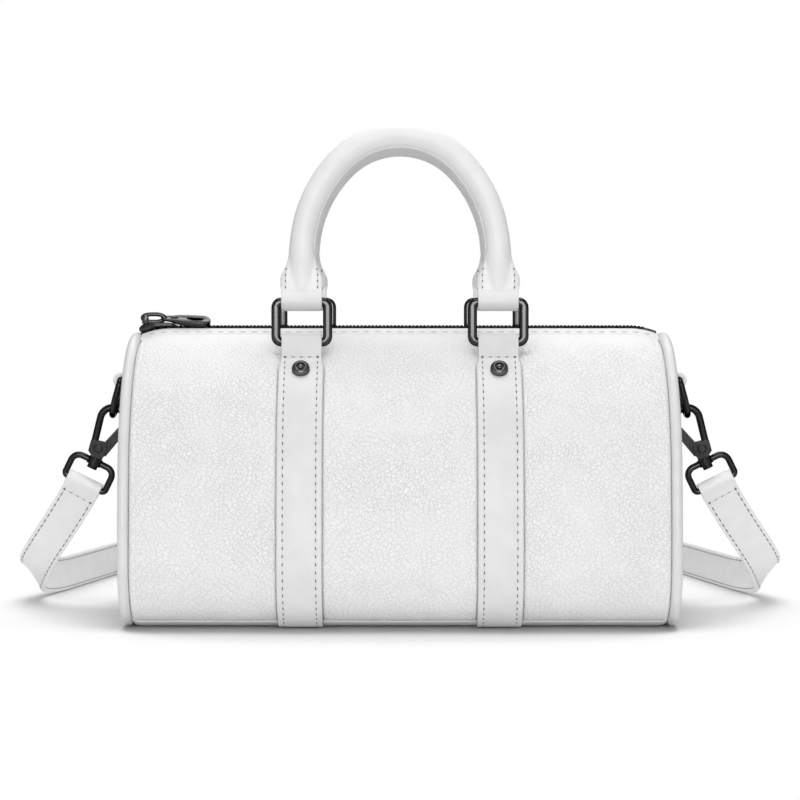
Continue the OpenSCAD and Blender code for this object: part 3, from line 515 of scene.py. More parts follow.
def lathe(profile, at, axis, sides):
    """A turned piece: (radius, height) pairs round an axis."""
    axis = unit(axis)
    one = unit(np.cross(axis, (1.0, 0, 0) if abs(axis[0]) < 0.8 else (0, 1.0, 0)))
    circle = rounded(1.0, sides)
    around = circle[:, :1] * one + circle[:, 1:] * np.cross(axis, one)
    points = np.concatenate([np.asarray(at) + axis * height + radius * around
                             for radius, height in profile])
    return points, grid_faces(len(profile), sides, closed=True), points[:, :2]


def together(*parts):
    """Several (points, faces, flat) sets as one."""
    points, faces, flat = zip(*parts)
    starts = np.cumsum([0] + [len(p) for p in points])
    faces = [tuple(v + start for v in face) for start, some in zip(starts, faces) for face in some]
    return np.concatenate(points), faces, np.concatenate(flat)


def settled_mesh(holder):
    """The plain mesh that an object comes to, with the object taken away."""
    bpy.context.scene.collection.objects.link(holder)
    bpy.context.view_layer.update()
    result = holder.evaluated_get(bpy.context.evaluated_depsgraph_get())
    mesh = bpy.data.meshes.new_from_object(result)
    holder.modifiers.clear()
    bpy.data.objects.remove(holder)
    return mesh


# ---------------------------------------------------------------- the body's outline

def outline(turn, out=0.0):
    """Point (Y, Z) where the outward normal has turned that far from the top, moved out."""
    turn = np.asarray(turn, float)
    out = np.broadcast_to(np.asarray(out, float), turn.shape)
    s, c = np.sin(np.radians(turn)), np.cos(np.radians(turn))
    dome = np.stack([(DOME_R + out) * s, DOME_Z + (DOME_R + out) * c], -1)
    side = np.stack([SIDE_HALF - SIDE_R + (SIDE_R + out) * s, CORNER_R + (SIDE_R + out) * c], -1)
    corner = np.stack([BASE_HALF + (CORNER_R + out) * s, CORNER_R + (CORNER_R + out) * c], -1)
    low = np.where(np.asarray(turn <= 90)[..., None], side, corner)
    return np.where(np.asarray(turn <= 90 - SIDE_ANGLE)[..., None], dome, low)


FINE_TURNS = np.linspace(0, 180, 3601)
FINE_LENGTHS = walked(outline(FINE_TURNS))


def length_at(turn):
    return np.interp(turn, FINE_TURNS, FINE_LENGTHS)


def even_turns(first, last, step):
    """Turns whose points on the outline are about a step apart."""
    a, b = length_at(first), length_at(last)
    count = max(int(round((b - a) / step)), 2) + 1
    return np.interp(np.linspace(a, b, count), FINE_LENGTHS, FINE_TURNS)


def whole_outline(step, out):
    """The closed outline (Y, Z) and its outward directions."""
    half = even_turns(0, 180, step)
    points = outline(half, out)
    flat = np.linspace(BASE_HALF, -BASE_HALF, max(int(2 * BASE_HALF / step), 2) + 1)[1:-1]
    foot = np.stack([flat, np.full(len(flat), -out)], -1)
    normal = np.stack([np.sin(np.radians(half)), np.cos(np.radians(half))], -1)
    down = np.tile((0.0, -1.0), (len(flat), 1))
    mirror = (-1, 1)
    return (np.concatenate([points, foot, (points[::-1] * mirror)[:-1]]),
            np.concatenate([normal, down, (normal[::-1] * mirror)[:-1]]))


# ---------------------------------------------------------------- the body's leather

# Rows beside an end seam and beside a band's middle line
PANEL_SEAM_ROWS = (0.0, 0.15, 0.35, 0.6, 0.95, 1.35, 1.8, 2.2, 2.6, 2.9, 3.2, 3.6, 4.2, 5.2)
BASE_SEAM_ROWS = (0.0, 0.35, 0.9, 1.6, 2.4, 3.4)
BAND_ROWS = (9.95, 10.15, 10.35, 10.6, 10.95, 11.5, 12.4, 13.8)
GROOVE_ROWS = (10.02, 10.07)
GROOVE_HALF = 10.04
LEAST_ROW_GAP = 0.12


def beside_bands(distances):
    return [side * BAND_X + way * off for off in distances for side in (-1, 1) for way in (-1, 1)]


def along_seams(step, seam_rows):
    """Places along X, closer together beside the end seams and the band edges."""
    last = SEAM_X - seam_rows[-1]
    places = [*np.arange(-last, last + step / 2, step), *beside_bands(BAND_ROWS)]
    places = sorted(places + [side * (SEAM_X - row) for row in seam_rows for side in (-1, 1)])
    kept = places[:1]
    for place in places[1:]:
        if place - kept[-1] > LEAST_ROW_GAP:
            kept.append(place)
    kept[-1] = SEAM_X
    return np.array(kept)


def settled(x, s):
    """The slight unevenness of leather over a soft lining."""
    return (0.24 * np.sin(x / 27.0 + 1.1) * np.sin(s / 24.0 + 0.4)
            + 0.12 * np.sin(x * 0.071 + s * 0.107 + 0.7))


def beside_seam(distance, width, drop):
    """How far the leather rolls down into a seam at that distance from it."""
    k = np.clip(1 - distance / width, 0, 1)
    return drop * (1 - np.sqrt(np.clip(1 - k * k, 0, 1)))


def beside_band(x, below):
    """How far the leather is pressed in beside a band, with a narrow gap below its top rows."""
    d = np.maximum(np.abs(np.abs(x) - BAND_X) - BAND_W / 2, 0)
    return 0.3 * np.exp(-(d / 1.6) ** 2) + 0.8 * np.exp(-(d / 0.5) ** 2) * below


def drooped(x):
    """How far the zip and its leather bend down towards the end seams."""
    return DROOP * np.clip((np.abs(x) - DROOP_FROM) / DROOP_WAY, 0, 1.12) ** 2


def wrap_panel(name, side):
    """The front or back leather, from the placket to the base, rolled into its seams."""
    x, turn = np.meshgrid(along_seams(3.0, PANEL_SEAM_ROWS),
                          even_turns(PANEL_TURN, SEAM_TURN, 2.2), indexing="ij")
    s = length_at(turn)
    from_zip, from_base, from_end = s - s[0, 0], s[0, -1] - s, SEAM_X - np.abs(x)
    top = np.clip((30.0 - turn) / 22.0, 0, 1)
    fade = np.clip((from_zip - 4) / 14, 0, 1) * np.clip(from_base / 12, 0, 1)
    out = (settled(x, s) * fade - drooped(x) * top
           - beside_seam(from_end, *PANEL_ROLL) * (1 - 0.5 * top)
           - beside_seam(from_base, *PANEL_FOOT_ROLL)
           - beside_band(x, np.clip((turn - ROW_ANGLE - 1) / 3, 0, 1))
           - 0.22 * np.exp(-((from_end - 2.9) / 0.45) ** 2))

    def skin(out):
        p = outline(turn, out)
        return np.stack([x, side * p[..., 0], p[..., 1]], -1)

    flat = np.stack([x + 300 * side, s], -1)
    make(name, "bag", PEBBLED,
         shell(skin(out), skin(np.minimum(-WRAP_T, out - 0.9)), flat))


def base():
    """The smooth base, from seam to seam, with the two grooves that take the bands."""
    turns = even_turns(SEAM_TURN, 180, 1.4)
    flat_y = np.linspace(-BASE_HALF, BASE_HALF, 21)[1:-1]
    x = np.array(sorted([*along_seams(6.0, BASE_SEAM_ROWS), *beside_bands(GROOVE_ROWS)]))
    groove = (np.abs(np.abs(x) - BAND_X) < GROOVE_HALF) * BAND_T

    def skin(depth):
        depth = depth[:, None]
        rise = outline(np.tile(turns, (len(x), 1)), -depth)
        foot = np.stack([np.tile(flat_y, (len(x), 1)), np.tile(depth, len(flat_y))], -1)
        across = np.concatenate([rise * (-1, 1), foot, rise[:, ::-1]], 1)
        return np.dstack([np.tile(x[:, None], across.shape[1]), across])

    outer = skin(beside_seam(SEAM_X - np.abs(x), *BASE_ROLL) + groove)
    make("base_panel", "bag", SHADED_TRIM,
         shell(outer, skin(np.full(len(x), BASE_T)), outer[..., :2]))


def end_panel(name, side):
    """A pebbled end, slightly pillowed and tucked under the piping all round."""
    rim, back = whole_outline(3.0, -4.3)[0], whole_outline(3.0, -3.0)[0]
    rows = [at_x(END_BACK_X, np.tile(END_CENTRE, (len(back), 1))), at_x(END_BACK_X, back),
            at_x(END_RIM_X, back)]
    for share in np.concatenate([[1.0, 0.992, 0.978, 0.958, 0.93], np.linspace(0.89, 0.0, 20)]):
        p = END_CENTRE + (rim - END_CENTRE) * share
        inset = (1 - share) * END_REACH
        low = 1.25 * eased((75 - p[:, 1]) / 30) * np.clip(inset / 26, 0, 1)
        uneven = 0.12 * np.sin(p[:, 0] / 17 + 1) * np.sin(p[:, 1] / 15) * np.clip(inset / 20, 0, 1)
        rows.append(at_x(END_FACE_X - beside_seam(inset, *END_ROLL) + low + uneven, p))
    grid = np.array(rows) * (side, 1, 1)
    flat = grid[..., 1:] + (600 + 200 * side, 0)
    make(name, "bag", PEBBLED,
         (grid.reshape(-1, 3), grid_faces(*grid.shape[:2], closed=True), flat.reshape(-1, 2)))


def piping(name, side):
    """The round piping over an end seam."""
    ring, normal = whole_outline(2.0, -PIPING_R)
    make(name, "bag", SHADED_TRIM,
         swept(at_x(side * (SEAM_X + PIPING_R), ring), ALONG, at_x(0.0, normal),
               rounded(PIPING_R, 22), closed=True), crease=60)


def lining():
    """A cloth bag inside the leather, open under the zip."""
    def walls(inset, floor_z, half_x):
        first = math.degrees(math.asin(LINING_MOUTH / (DOME_R - inset)))
        p = outline(even_turns(first, 180, 5.0), -inset)
        p[:, 1] = np.maximum(p[:, 1], floor_z)
        curve = np.concatenate([p * (-1, 1), p[::-1]])
        top = np.array((0.0, curve[0, 1]))
        ends = [top + (curve - top) * share for share in (0, 0.3, 0.6, 0.85)]
        rows = [at_x(-half_x, end) for end in ends]
        rows += [at_x(x, curve) for x in np.linspace(-half_x, half_x, 25)]
        return np.array(rows + [at_x(half_x, end) for end in ends[::-1]])

    outer = walls(*LINING_OUTER)
    flat = np.stack([outer[..., 0] + outer[..., 1], outer[..., 2]], -1)
    make("lining", "bag", CLOTH, shell(outer, walls(*LINING_INNER), flat))


# ---------------------------------------------------------------- repeated pieces

def repeat_tree(name, *sizes):
    """A tree with named inputs: places, sizes and finish. Gives the tree and its inputs."""
    tree = bpy.data.node_groups.new(name, "GeometryNodeTree")
    kinds = {"Places": "Geometry", **dict.fromkeys(sizes, "Float"), "Finish": "Material"}
    for socket, kind in kinds.items():
        tree.interface.new_socket(socket, in_out="INPUT", socket_type="NodeSocket" + kind)
    tree.interface.new_socket("Pieces", in_out="OUTPUT", socket_type="NodeSocketGeometry")
    return tree, tree.nodes.new("NodeGroupInput").outputs


def scattered(tree, given, shape):
    """One shape on every place, turned by the place's own attribute, made real and painted."""
    turn = add(tree, "GeometryNodeInputNamedAttribute", {"Name": "turn"}, data_type="FLOAT_VECTOR")
    turn = add(tree, "FunctionNodeEulerToRotation", {0: turn.outputs["Attribute"]}).outputs[0]
    copies = add(tree, "GeometryNodeInstanceOnPoints",
                 {"Points": given["Places"], "Instance": shape, "Rotation": turn}).outputs[0]
    real = add(tree, "GeometryNodeRealizeInstances", {0: copies}).outputs[0]
    painted = add(tree, "GeometryNodeSetMaterial", {0: real, "Material": given["Finish"]})
    add(tree, "NodeGroupOutput", {"Pieces": painted.outputs[0]})
    return tree


def ball(tree, segments, rings):
    return add(tree, "GeometryNodeMeshUVSphere",
               {"Segments": segments, "Rings": rings, "Radius": 0.5}).outputs["Mesh"]


def sized(tree, **sizes):
    return add(tree, "ShaderNodeCombineXYZ", sizes).outputs[0]


def times(tree, socket, share):
    return add(tree, "ShaderNodeMath", {0: socket, 1: share}, operation="MULTIPLY").outputs[0]


def stitch_tree():
    """A thread's visible stitch: a small rounded grain, along its X."""
    tree, given = repeat_tree("stitches", "Stitch length", "Thread width", "Thread height")
    laid = add(tree, "GeometryNodeTransform",
               {"Geometry": ball(tree, 8, 5), "Rotation": (0, math.pi / 2, 0)}).outputs[0]
    size = sized(tree, X=given["Stitch length"], Y=given["Thread width"], Z=given["Thread height"])
    shaped = add(tree, "GeometryNodeTransform", {"Geometry": laid, "Scale": size}).outputs[0]
    return scattered(tree, given, add(tree, "GeometryNodeSetShadeSmooth", {0: shaped}).outputs[0])


def tooth_tree():
    """A zip tooth: a shank from the tape and a round head that meshes with the other row."""
    tree, given = repeat_tree("zip teeth", "Tooth width", "Tooth length", "Tooth height")
    width, length, height = (given[f"Tooth {size}"] for size in ("width", "length", "height"))
    shank = add(tree, "GeometryNodeMeshCube",
                {"Size": sized(tree, X=times(tree, width, 0.62), Y=length, Z=height)})
    head = add(tree, "GeometryNodeTransform",
               {"Geometry": ball(tree, 10, 6),
                "Translation": sized(tree, Y=times(tree, length, -0.36)),
                "Scale": sized(tree, X=width, Y=width, Z=times(tree, height, 1.5))})
    both = add(tree, "GeometryNodeJoinGeometry", {0: shank.outputs["Mesh"]})
    tree.links.new(head.outputs[0], both.inputs[0])
    return scattered(tree, given, both.outputs[0])


STITCHES = stitch_tree()
TEETH = tooth_tree()


def repeated(name, body, tree, sizes, material, places, turns):
    """Runs a tree on points and keeps the plain mesh that it makes."""
    seed = bpy.data.meshes.new(name + "_places")
    seed.from_pydata((np.asarray(places, float) * MM).tolist(), [], [])
    attribute = seed.attributes.new("turn", "FLOAT_VECTOR", "POINT")
    attribute.data.foreach_set("vector", np.asarray(turns, float).ravel())
    holder = bpy.data.objects.new(name + "_places", seed)
    modifier = holder.modifiers.new("repeat", "NODES")
    modifier.node_group = tree
    inputs = [item for item in tree.interface.items_tree if item.in_out == "INPUT"][1:]
    for item, value in zip(inputs, [*(size * MM for size in sizes), material]):
        modifier[item.identifier] = value
    mesh = settled_mesh(holder)
    mesh.name = name
    if "turn" in mesh.attributes:
        mesh.attributes.remove(mesh.attributes["turn"])
    placed(name, mesh, body)


def euler_of(along, up):
    """Turns that lay X along a direction and Z out of the surface."""
    along = unit(along)
    across = unit(np.cross(unit(up), along))
    return [tuple(Matrix(axes).transposed().to_euler("XYZ"))
            for axes in zip(along, across, np.cross(along, across))]


# ---------------------------------------------------------------- zip

PLACKET_SECTION = [
    (3.45, 133.2), (3.22, 133.35), (3.2, 133.6), (3.32, 133.85), (3.6, 133.98), (4.2, 133.9),
    (5.2, 133.62), (6.3, 133.24), (7.5, 132.66), (7.9, 132.4), (8.2, 132.28), (8.5, 132.18),
    (9.2, 131.9), (9.8, 131.62), (10.12, 131.4), (10.24, 131.12), (10.1, 130.85), (9.1, 131.0),
    (7.0, 132.0), (5.0, 132.85)]
TAPE_SECTION = [
    (1.2, 133.2), (1.2, 132.65), (3.2, 132.6), (6.0, 131.35), (9.1, 130.0), (9.1, 130.5),
    (6.0, 131.9), (3.2, 133.2)]
BEAD_SECTION = [
    (1.6, 133.2), (1.75, 134.0), (2.1, 134.25), (2.6, 134.25), (2.85, 134.0), (2.9, 133.2)]
# Slider, from its nose to its tail: place along X, half width, underside and top
SLIDER = np.array([
    (-121.7, 1.0, 132.9, 134.0), (-121.3, 1.9, 132.2, 134.8), (-120.3, 2.8, 131.8, 135.7),
    (-119.0, 3.4, 131.8, 136.3), (-117.5, 3.9, 132.2, 136.6), (-115.8, 4.2, 133.2, 136.7),
    (-114.0, 4.4, 134.1, 136.8), (-109.0, 4.4, 134.5, 136.7), (-106.0, 4.1, 134.5, 136.4),
    (-104.8, 3.4, 134.55, 135.9), (-104.5, 2.8, 134.6, 135.4)])
TOOTH_SIZE = (2.2, 3.7, 1.9)
TOOTH_LIFT = 0.85
PLACKET_SLOPE = math.atan2(3.08, 7.0)


def zip_line(x, y, z=0.0):
    """A line along the zip that droops with it towards the end seams."""
    return np.column_stack([x, np.broadcast_to(y, len(x)), z - drooped(x)])


def strip_along_zip(name, material, half, section, side, wave=0.0):
    x = np.linspace(-half, half, int(half) + 1)
    centres = zip_line(x, wave * np.sin(x / 13.0))
    make(name, "bag", material, swept(centres, (0.0, side, 0.0), UP, section))


def zip_rows():
    """Two rows of teeth, half a pitch apart, each with the bead that they stand on."""
    for face, side, first in (("back", 1, 0.0), ("front", -1, 0.5)):
        count = int((CHAIN_W - TOOTH_PITCH / 2) / TOOTH_PITCH)
        x = -CHAIN_W / 2 + 0.8 + (np.arange(count) + first) * TOOTH_PITCH
        turn = (0, 0, 0 if side > 0 else math.pi)
        repeated(face + "_zip_teeth", "bag", TEETH, TOOTH_SIZE, TEETH_METAL,
                 zip_line(x, side, TAPE_TOP + TOOTH_LIFT), [turn] * count)
        strip_along_zip(face + "_zip_bead", TEETH_METAL, CHAIN_W / 2, BEAD_SECTION,
                        side)


def zip_ends():
    """The stops: a sealed black end at the right, two small blocks at the left."""
    end, block = (leather_section(*size, edge=0.42) for size in (RIGHT_STOP, LEFT_STOP))
    parts = [swept(zip_line(np.linspace(*RIGHT_STOP_X, 14), 0.0, TAPE_TOP + 0.95), ACROSS, UP, end)]
    parts += [swept(zip_line(np.linspace(*LEFT_STOP_X, 4), y, TAPE_TOP + 0.7), ACROSS, UP, block)
              for y in (-LEFT_STOP_Y, LEFT_STOP_Y)]
    make("zip_stops", "bag", ZIP_METAL, together(*parts))


def slider_body():
    """The slider: a crowned body with a turned-down nose, and two lugs that hold the link's pin."""
    x = np.linspace(SLIDER[0, 0], SLIDER[-1, 0], 40)
    half, low, high = (levelled(np.interp(x, SLIDER[:, 0], sizes), 1) for sizes in SLIDER.T[1:])
    sections = squarish(28, 0.5, 0.7) * np.stack([half, (high - low) / 2], -1)[:, None]
    middle = np.column_stack([x, np.zeros(len(x)), (low + high) / 2])
    parts = [swept(middle, ACROSS, UP, sections)]
    pin_x, pin_z = LINK_PIN
    side = np.concatenate([[(1.5, 136.0)], arc(1.3, 0, 180, 13, (0.0, pin_z)), [(-1.5, 136.0)]])
    shares = np.array([(share, 1, share) for share in (0.92, 1.0, 1.0, 0.92)])[:, None]
    for face in (-1, 1):
        lug = np.array([at_y(face * y, side + (pin_x, 0)) for y in (0.9, 1.0, 1.75, 1.85)])
        centre = lug.mean(1, keepdims=True)
        points = ((lug - centre) * shares + centre).reshape(-1, 3)
        parts.append((points, grid_faces(4, len(side), closed=True, ends=True), points[:, :2]))
    parts.append(lathe([(0.0, -1.6), (0.7, -1.6), (0.7, 1.6), (0.0, 1.6)], (pin_x, 0, pin_z),
                       ACROSS, 20))
    make("zip_slider", "zip_slider", ZIP_METAL, together(*parts), crease=45)


def pull_link():
    """The oval link of round wire."""
    centres = at_y(0.0, squarish(64, 0.8, 0.95) * (5.05, 1.75) + LINK_MIDDLE)
    outwards = np.cross(directions(centres, closed=True), ACROSS)
    make("pull_link", "pull_link", ZIP_METAL,
         swept(centres, ACROSS, outwards, rounded(1.03, 14), closed=True), crease=60)


def pull_tab():
    """The flat pull: rounded edges, a narrow neck with its eye, and two long openings."""
    def oval(at, half_x, half_y):
        a = np.linspace(0, 2 * math.pi, 28, endpoint=False)
        return [(at + half_x * math.cos(v), half_y * math.sin(v)) for v in a]

    neck = [(0.1 + 2.3 * (1 - math.cos(v)), 2.3 * math.sin(v))
            for v in np.linspace(0, math.pi / 2, 8)]
    head = [(19.15 + 4.05 * math.cos(v), 4.05 * math.sin(v))
            for v in np.linspace(math.pi / 2, -math.pi / 2, 25)]
    upper = neck + [(5.0, 2.55), (8.0, 3.1), (12.0, 3.75), (15.5, 4.0)]
    edge = upper + head + [(px, -py) for px, py in upper[::-1]][:-1]
    curve = bpy.data.curves.new("pull_tab_outline", "CURVE")
    curve.dimensions = "2D"
    curve.fill_mode = "BOTH"
    for loop in (edge, oval(1.75, 1.15, 1.1), oval(6.3, 1.75, 0.85), oval(16.0, 3.9, 1.75)):
        spline = curve.splines.new("POLY")
        spline.points.add(len(loop) - 1)
        for point, place in zip(spline.points, loop):
            point.co = (*place, 0, 1)
        spline.use_cyclic_u = True
    curve.extrude = 0.22
    curve.bevel_depth = 0.28
    curve.bevel_resolution = 3
    curve.offset = -0.2
    mesh = settled_mesh(bpy.data.objects.new("pull_tab_outline", curve))
    flat = np.array([tuple(v.co) for v in mesh.vertices])
    faces = [tuple(f.vertices) for f in mesh.polygons]
    bpy.data.meshes.remove(mesh)
    # Thicker from its neck on, then rolled over its length and pitched down to the zip
    thicker = eased((flat[:, 0] - 3.5) / 6.0)
    x, y, z = flat[:, 0], flat[:, 1], flat[:, 2] * (1 + 1.5 * thicker) - 0.3 * thicker
    y, z = (y * math.cos(PULL_ROLL) - z * math.sin(PULL_ROLL),
            y * math.sin(PULL_ROLL) + z * math.cos(PULL_ROLL))
    x, z = (x * math.cos(PULL_PITCH) + z * math.sin(PULL_PITCH),
            -x * math.sin(PULL_PITCH) + z * math.cos(PULL_PITCH))
    points = np.column_stack([PULL_AT[0] + x, y, PULL_AT[1] + z])
    make("pull_tab", "pull_tab", ZIP_METAL, (points, faces, flat[:, :2]), crease=40)


# ---------------------------------------------------------------- strips and sewing

class Strip:
    """A flat leather strip along a path: its ways along, across and out, and its sizes."""

    def __init__(self, path, across, widths, thicknesses, row, out_hint=None):
        self.path = np.asarray(path, float)
        self.along = directions(self.path)
        self.across = unit(across - self.along * np.sum(across * self.along, -1, keepdims=True))
        self.out = np.cross(self.along, self.across)
        if out_hint is not None and np.sum(self.out[len(path) // 2] * out_hint) < 0:
            self.across, self.out = -self.across, -self.out
        self.widths = np.broadcast_to(widths, len(path))
        self.thicknesses = np.broadcast_to(thicknesses, len(path))
        self.row = row
        self.lengths = walked(self.path)

    def solid(self):
        sections = [leather_section(width, thickness, self.row)
                    for width, thickness in zip(self.widths, self.thicknesses)]
        return swept(self.path, self.across, self.out, sections)

    def at(self, lengths, across, face, sink):
        """Places on a face, at those lengths along and that far across, and the ways there."""
        def read(values):
            return np.stack([np.interp(lengths, self.lengths, column) for column in values.T], -1)

        half = np.interp(lengths, self.lengths, self.thicknesses) / 2
        out = unit(read(self.out)) * face
        across = np.broadcast_to(across, len(lengths))[:, None]
        places = read(self.path) + read(self.across) * across + out * (half + sink)[:, None]
        return places, unit(read(self.along)), unit(read(self.across)), out


class Sewing:
    """Collects the stitches of one body and the holes where the needle went, each a dark dot of
    painted shade, by their lengths.
    """

    def __init__(self):
        self.stitch, self.hole = {}, {}

    def put(self, store, key, places, along, out):
        places = np.asarray(places)
        kept, turns = store.setdefault(key, ([], []))
        kept.extend(places)
        turns.extend(euler_of(np.broadcast_to(along, places.shape),
                              np.broadcast_to(out, places.shape)))

    def row(self, strip, start, end, pitch, across, face=1, share=0.58, mark=1.6):
        """Stitches with their holes between them, each hole a dark dot of painted shade, from start
        to end along a strip.
        """
        count = max(int((end - start) / pitch), 1)
        ends = start + np.arange(count + 1) * (end - start) / count
        middles = start + (np.arange(count) + 0.5) * (end - start) / count
        for store, key, lengths, sink in (
                (self.stitch, ("white", round(pitch * share, 2)), middles, THREAD_SINK),
                (self.hole, mark, ends, HOLE_SINK)):
            places, along, _, out = strip.at(lengths, across, face, sink)
            self.put(store, key, places, along, out)

    def cross_row(self, strip, length, marks, stitch, face=1, mark=None):
        """Stitches across a strip. With a mark, they run between holes, each a dark dot of painted
        shade, and else lie on them.
        """
        runs = [(self.stitch, ("white", stitch), marks, THREAD_SINK)]
        if mark:
            between = (marks[1:] + marks[:-1]) / 2
            runs = [(self.hole, mark, marks, HOLE_SINK),
                    (self.stitch, ("white", stitch), between, THREAD_SINK)]
        for store, key, across, sink in runs:
            places, _, way, out = strip.at(np.full(len(across), length), across, face, sink)
            self.put(store, key, places, way, out)

    def made(self, body):
        threads = {"white": THREAD, "grey": GREY_THREAD}
        for number, ((kind, length), (places, turns)) in enumerate(sorted(self.stitch.items())):
            repeated(f"{body}_stitches_{number + 1}", body, STITCHES,
                     (length, THREAD_W, THREAD_H), threads[kind], places, turns)
        # The holes: dark dots of painted shade
        for length, (places, turns) in sorted(self.hole.items()):
            repeated(f"{body}_needle_holes_{int(length * 10)}", body, STITCHES,
                     (length, HOLE_W, HOLE_H), HOLE_SHADE, places, turns)


def placket_sewing(sewing):
    """Grey stitches along the outer edge of both plackets."""
    x = (np.arange(PLACKET_STITCHES) - PLACKET_STITCHES // 2) * PLACKET_PITCH
    y, z = PLACKET_ROW
    for side in (-1, 1):
        out = (0.0, side * math.sin(PLACKET_SLOPE), math.cos(PLACKET_SLOPE))
        sewing.put(sewing.stitch, ("grey", 3.1), zip_line(x, side * y, z), ALONG, out)


# ---------------------------------------------------------------- bands, rings and rivets

def band_line():
    """Half of a band's middle line (Y, Z): from the base up the back, round the ring and under."""
    foot = np.stack([np.linspace(0, 46, 12), np.full(12, BAND_T / 2)], -1)
    last = math.degrees(math.acos((BAND_T / 2 - CORNER_R) / (CORNER_R + BAND_T / 2)))
    rise = outline(even_turns(ROW_ANGLE + 1, last - 3, 1.2)[::-1], BAND_T / 2)
    away = rise[-1] - (RING_Y, RING_Z)
    first = math.degrees(math.atan2(away[1], away[0])
                         + math.acos(LOOP_MIDDLE_R / np.linalg.norm(away)))
    loop = arc(LOOP_MIDDLE_R, first, first + 225, 25, (RING_Y, RING_Z))
    under = outline(np.array([ROW_ANGLE - 2.5, ROW_ANGLE]), -BAND_T / 2)
    return softened(evened(np.concatenate([foot, rise, loop, under]), 0.9), 3)


def sewn_span(strip):
    """Lengths along a band between its two cross rows, found from the base out on both sides."""
    height = outline(ROW_ANGLE, BAND_T)[1]
    ends = []
    for sense in (-1, 1):
        i = len(strip.path) // 2
        while strip.path[i, 2] < height:
            i += sense
        ends.append(strip.lengths[i])
    return ends[0] + 1.0, ends[1] - 1.0


def bands(sewing):
    """Both bands, narrower and thinner where they turn on the rings' bars."""
    half = band_line()
    line = np.concatenate([half[:0:-1] * (-1, 1), half])
    from_ring = np.hypot(np.abs(line[:, 0]) - RING_Y, line[:, 1] - RING_Z)
    near_top = (line[:, 1] > outline(ROW_ANGLE + 1.2)[1]) & (np.abs(line[:, 0]) < 48)
    widths = levelled(np.where(near_top, BAND_LOOP_W, BAND_W), 2)
    thick = levelled(np.where(from_ring < 4.2, LOOP_R - BORE_R - 0.04, BAND_T), 3)
    for end, side in ENDS:
        strip = Strip(at_x(side * BAND_X, line), ALONG, widths, thick, BAND_ROW, (0, 0, -1))
        make(end + "_band", "bag", SHADED_TRIM, strip.solid())
        span = sewn_span(strip)
        for row in (-BAND_ROW, BAND_ROW):
            sewing.row(strip, *span, BAND_PITCH, row)
        for length in span:
            sewing.cross_row(strip, length, np.array([-BAND_ROW, -3.7, 0.0, 3.7, BAND_ROW]), 2.1,
                             mark=1.9)


# Radius and height of a rivet, from its foot over the dome and its ring to the middle
RIVET_PROFILE = [(0.0, -2.7), (3.95, -2.7), (4.0, 0.3), (3.98, 0.8), (3.82, 1.4), (3.5, 1.95),
                 (3.0, 2.4), (2.45, 2.66), (2.15, 2.7), (2.0, 2.6), (1.92, 1.5), (1.3, 1.4),
                 (1.2, 1.6), (1.12, 2.6), (0.9, 2.78), (0.5, 2.86), (0.0, 2.88)]
COLLAR_PROFILE = [(1.58, -0.3), (2.3, -0.3), (2.3, 0.2), (2.12, 0.38), (1.8, 0.38), (1.58, 0.2),
                  (1.58, -0.3)]


def rivets():
    """One rivet on each band's front and back, under the loop's row of stitches."""
    y, z = outline(RIVET_ANGLE + 1.3, BAND_T + 0.6)
    parts = [lathe(RIVET_PROFILE, (side * BAND_X, face * y, z),
                   (0, face * math.sin(RIVET_LEAN), math.cos(RIVET_LEAN)), 48)
             for side in (-1, 1) for face in (-1, 1)]
    make("band_rivets", "bag", RIVET_METAL, together(*parts), crease=50)


def hook_pivots():
    """The raised collar round each hook's rivet, on both faces."""
    x, y, z = HOOK_PIVOT
    for end, side in ENDS:
        parts = [lathe(COLLAR_PROFILE, (side * x, face * y, z), (0, face, 0), 28)
                 for face in (-1, 1)]
        make(end + "_hook_collar", end + "_hook", GUNMETAL, together(*parts),
             crease=30)


def ring(name, side, face):
    """A rectangular ring: flat-faced wire at its sides, round where the leather turns on it."""
    r = RING_CORNER_R
    corner = arc(r, 0, 90, 9, (RING_HALF_X - r, RING_HALF_Z - r))
    line = np.concatenate([corner, (corner * (-1, 1))[::-1], corner * (-1, -1),
                           (corner * (1, -1))[::-1], corner[:1]])
    line = evened(line, 0.7)[:-1]
    outwards = np.cross(directions(at_y(0.0, line), closed=True), ACROSS)
    if outwards[0, 0] < 0:
        outwards = -outwards
    ways = ((1, 1), (-1, 1), (-1, -1), (1, -1))
    flat = np.concatenate([arc(RING_EDGE_R, 90 * k, 90 * k + 90, 7, (RING_FLAT * x, RING_FLAT * y))
                           for k, (x, y) in enumerate(ways)])
    share = eased((np.abs(line[:, 0]) - 9.0) / 1.6)[:, None, None]
    sections = RING_WIRE_R * unit(flat) * (1 - share) + flat * share
    centres = at_y(face * RING_Y, line + (side * BAND_X, RING_Z + RING_HALF_Z))
    make(name, name, RING_METAL,
         swept(centres, outwards, ACROSS, sections, closed=True), crease=60)


# ---------------------------------------------------------------- handles

# Heights at a handle's end, and what is measured there
EAR_HALF_WIDTH = ((151.7, 152.5, 154.0, 157.0, 158.8, 160.5, 163.3, 165.4, 168.0, 172.0, 176.0),
                  (9.2, 9.5, 9.75, 9.7, 9.1, 8.2, 6.9, 6.3, 5.9, 5.6, GRIP_R))
EAR_SLAB = ((151.7, 160.0, 168.0, 174.0), (2.5, 2.3, 1.7, 0.0))
EAR_RIDGE = ((151.7, 158.0, 165.0, 170.0), (2.6, 3.7, 5.1, GRIP_R))
EAR_TUBE = ((151.7, 156.0, 163.0, 170.0), (2.4, 4.2, 5.4, GRIP_R))
# Needle holes of one ear, from the leg's middle: across, out, and height
EAR_HOLES = np.array([(7.25, 2.44, 152.9), (7.25, 2.39, 155.6), (7.25, 2.33, 158.4),
                      (7.0, 2.27, 161.1)])


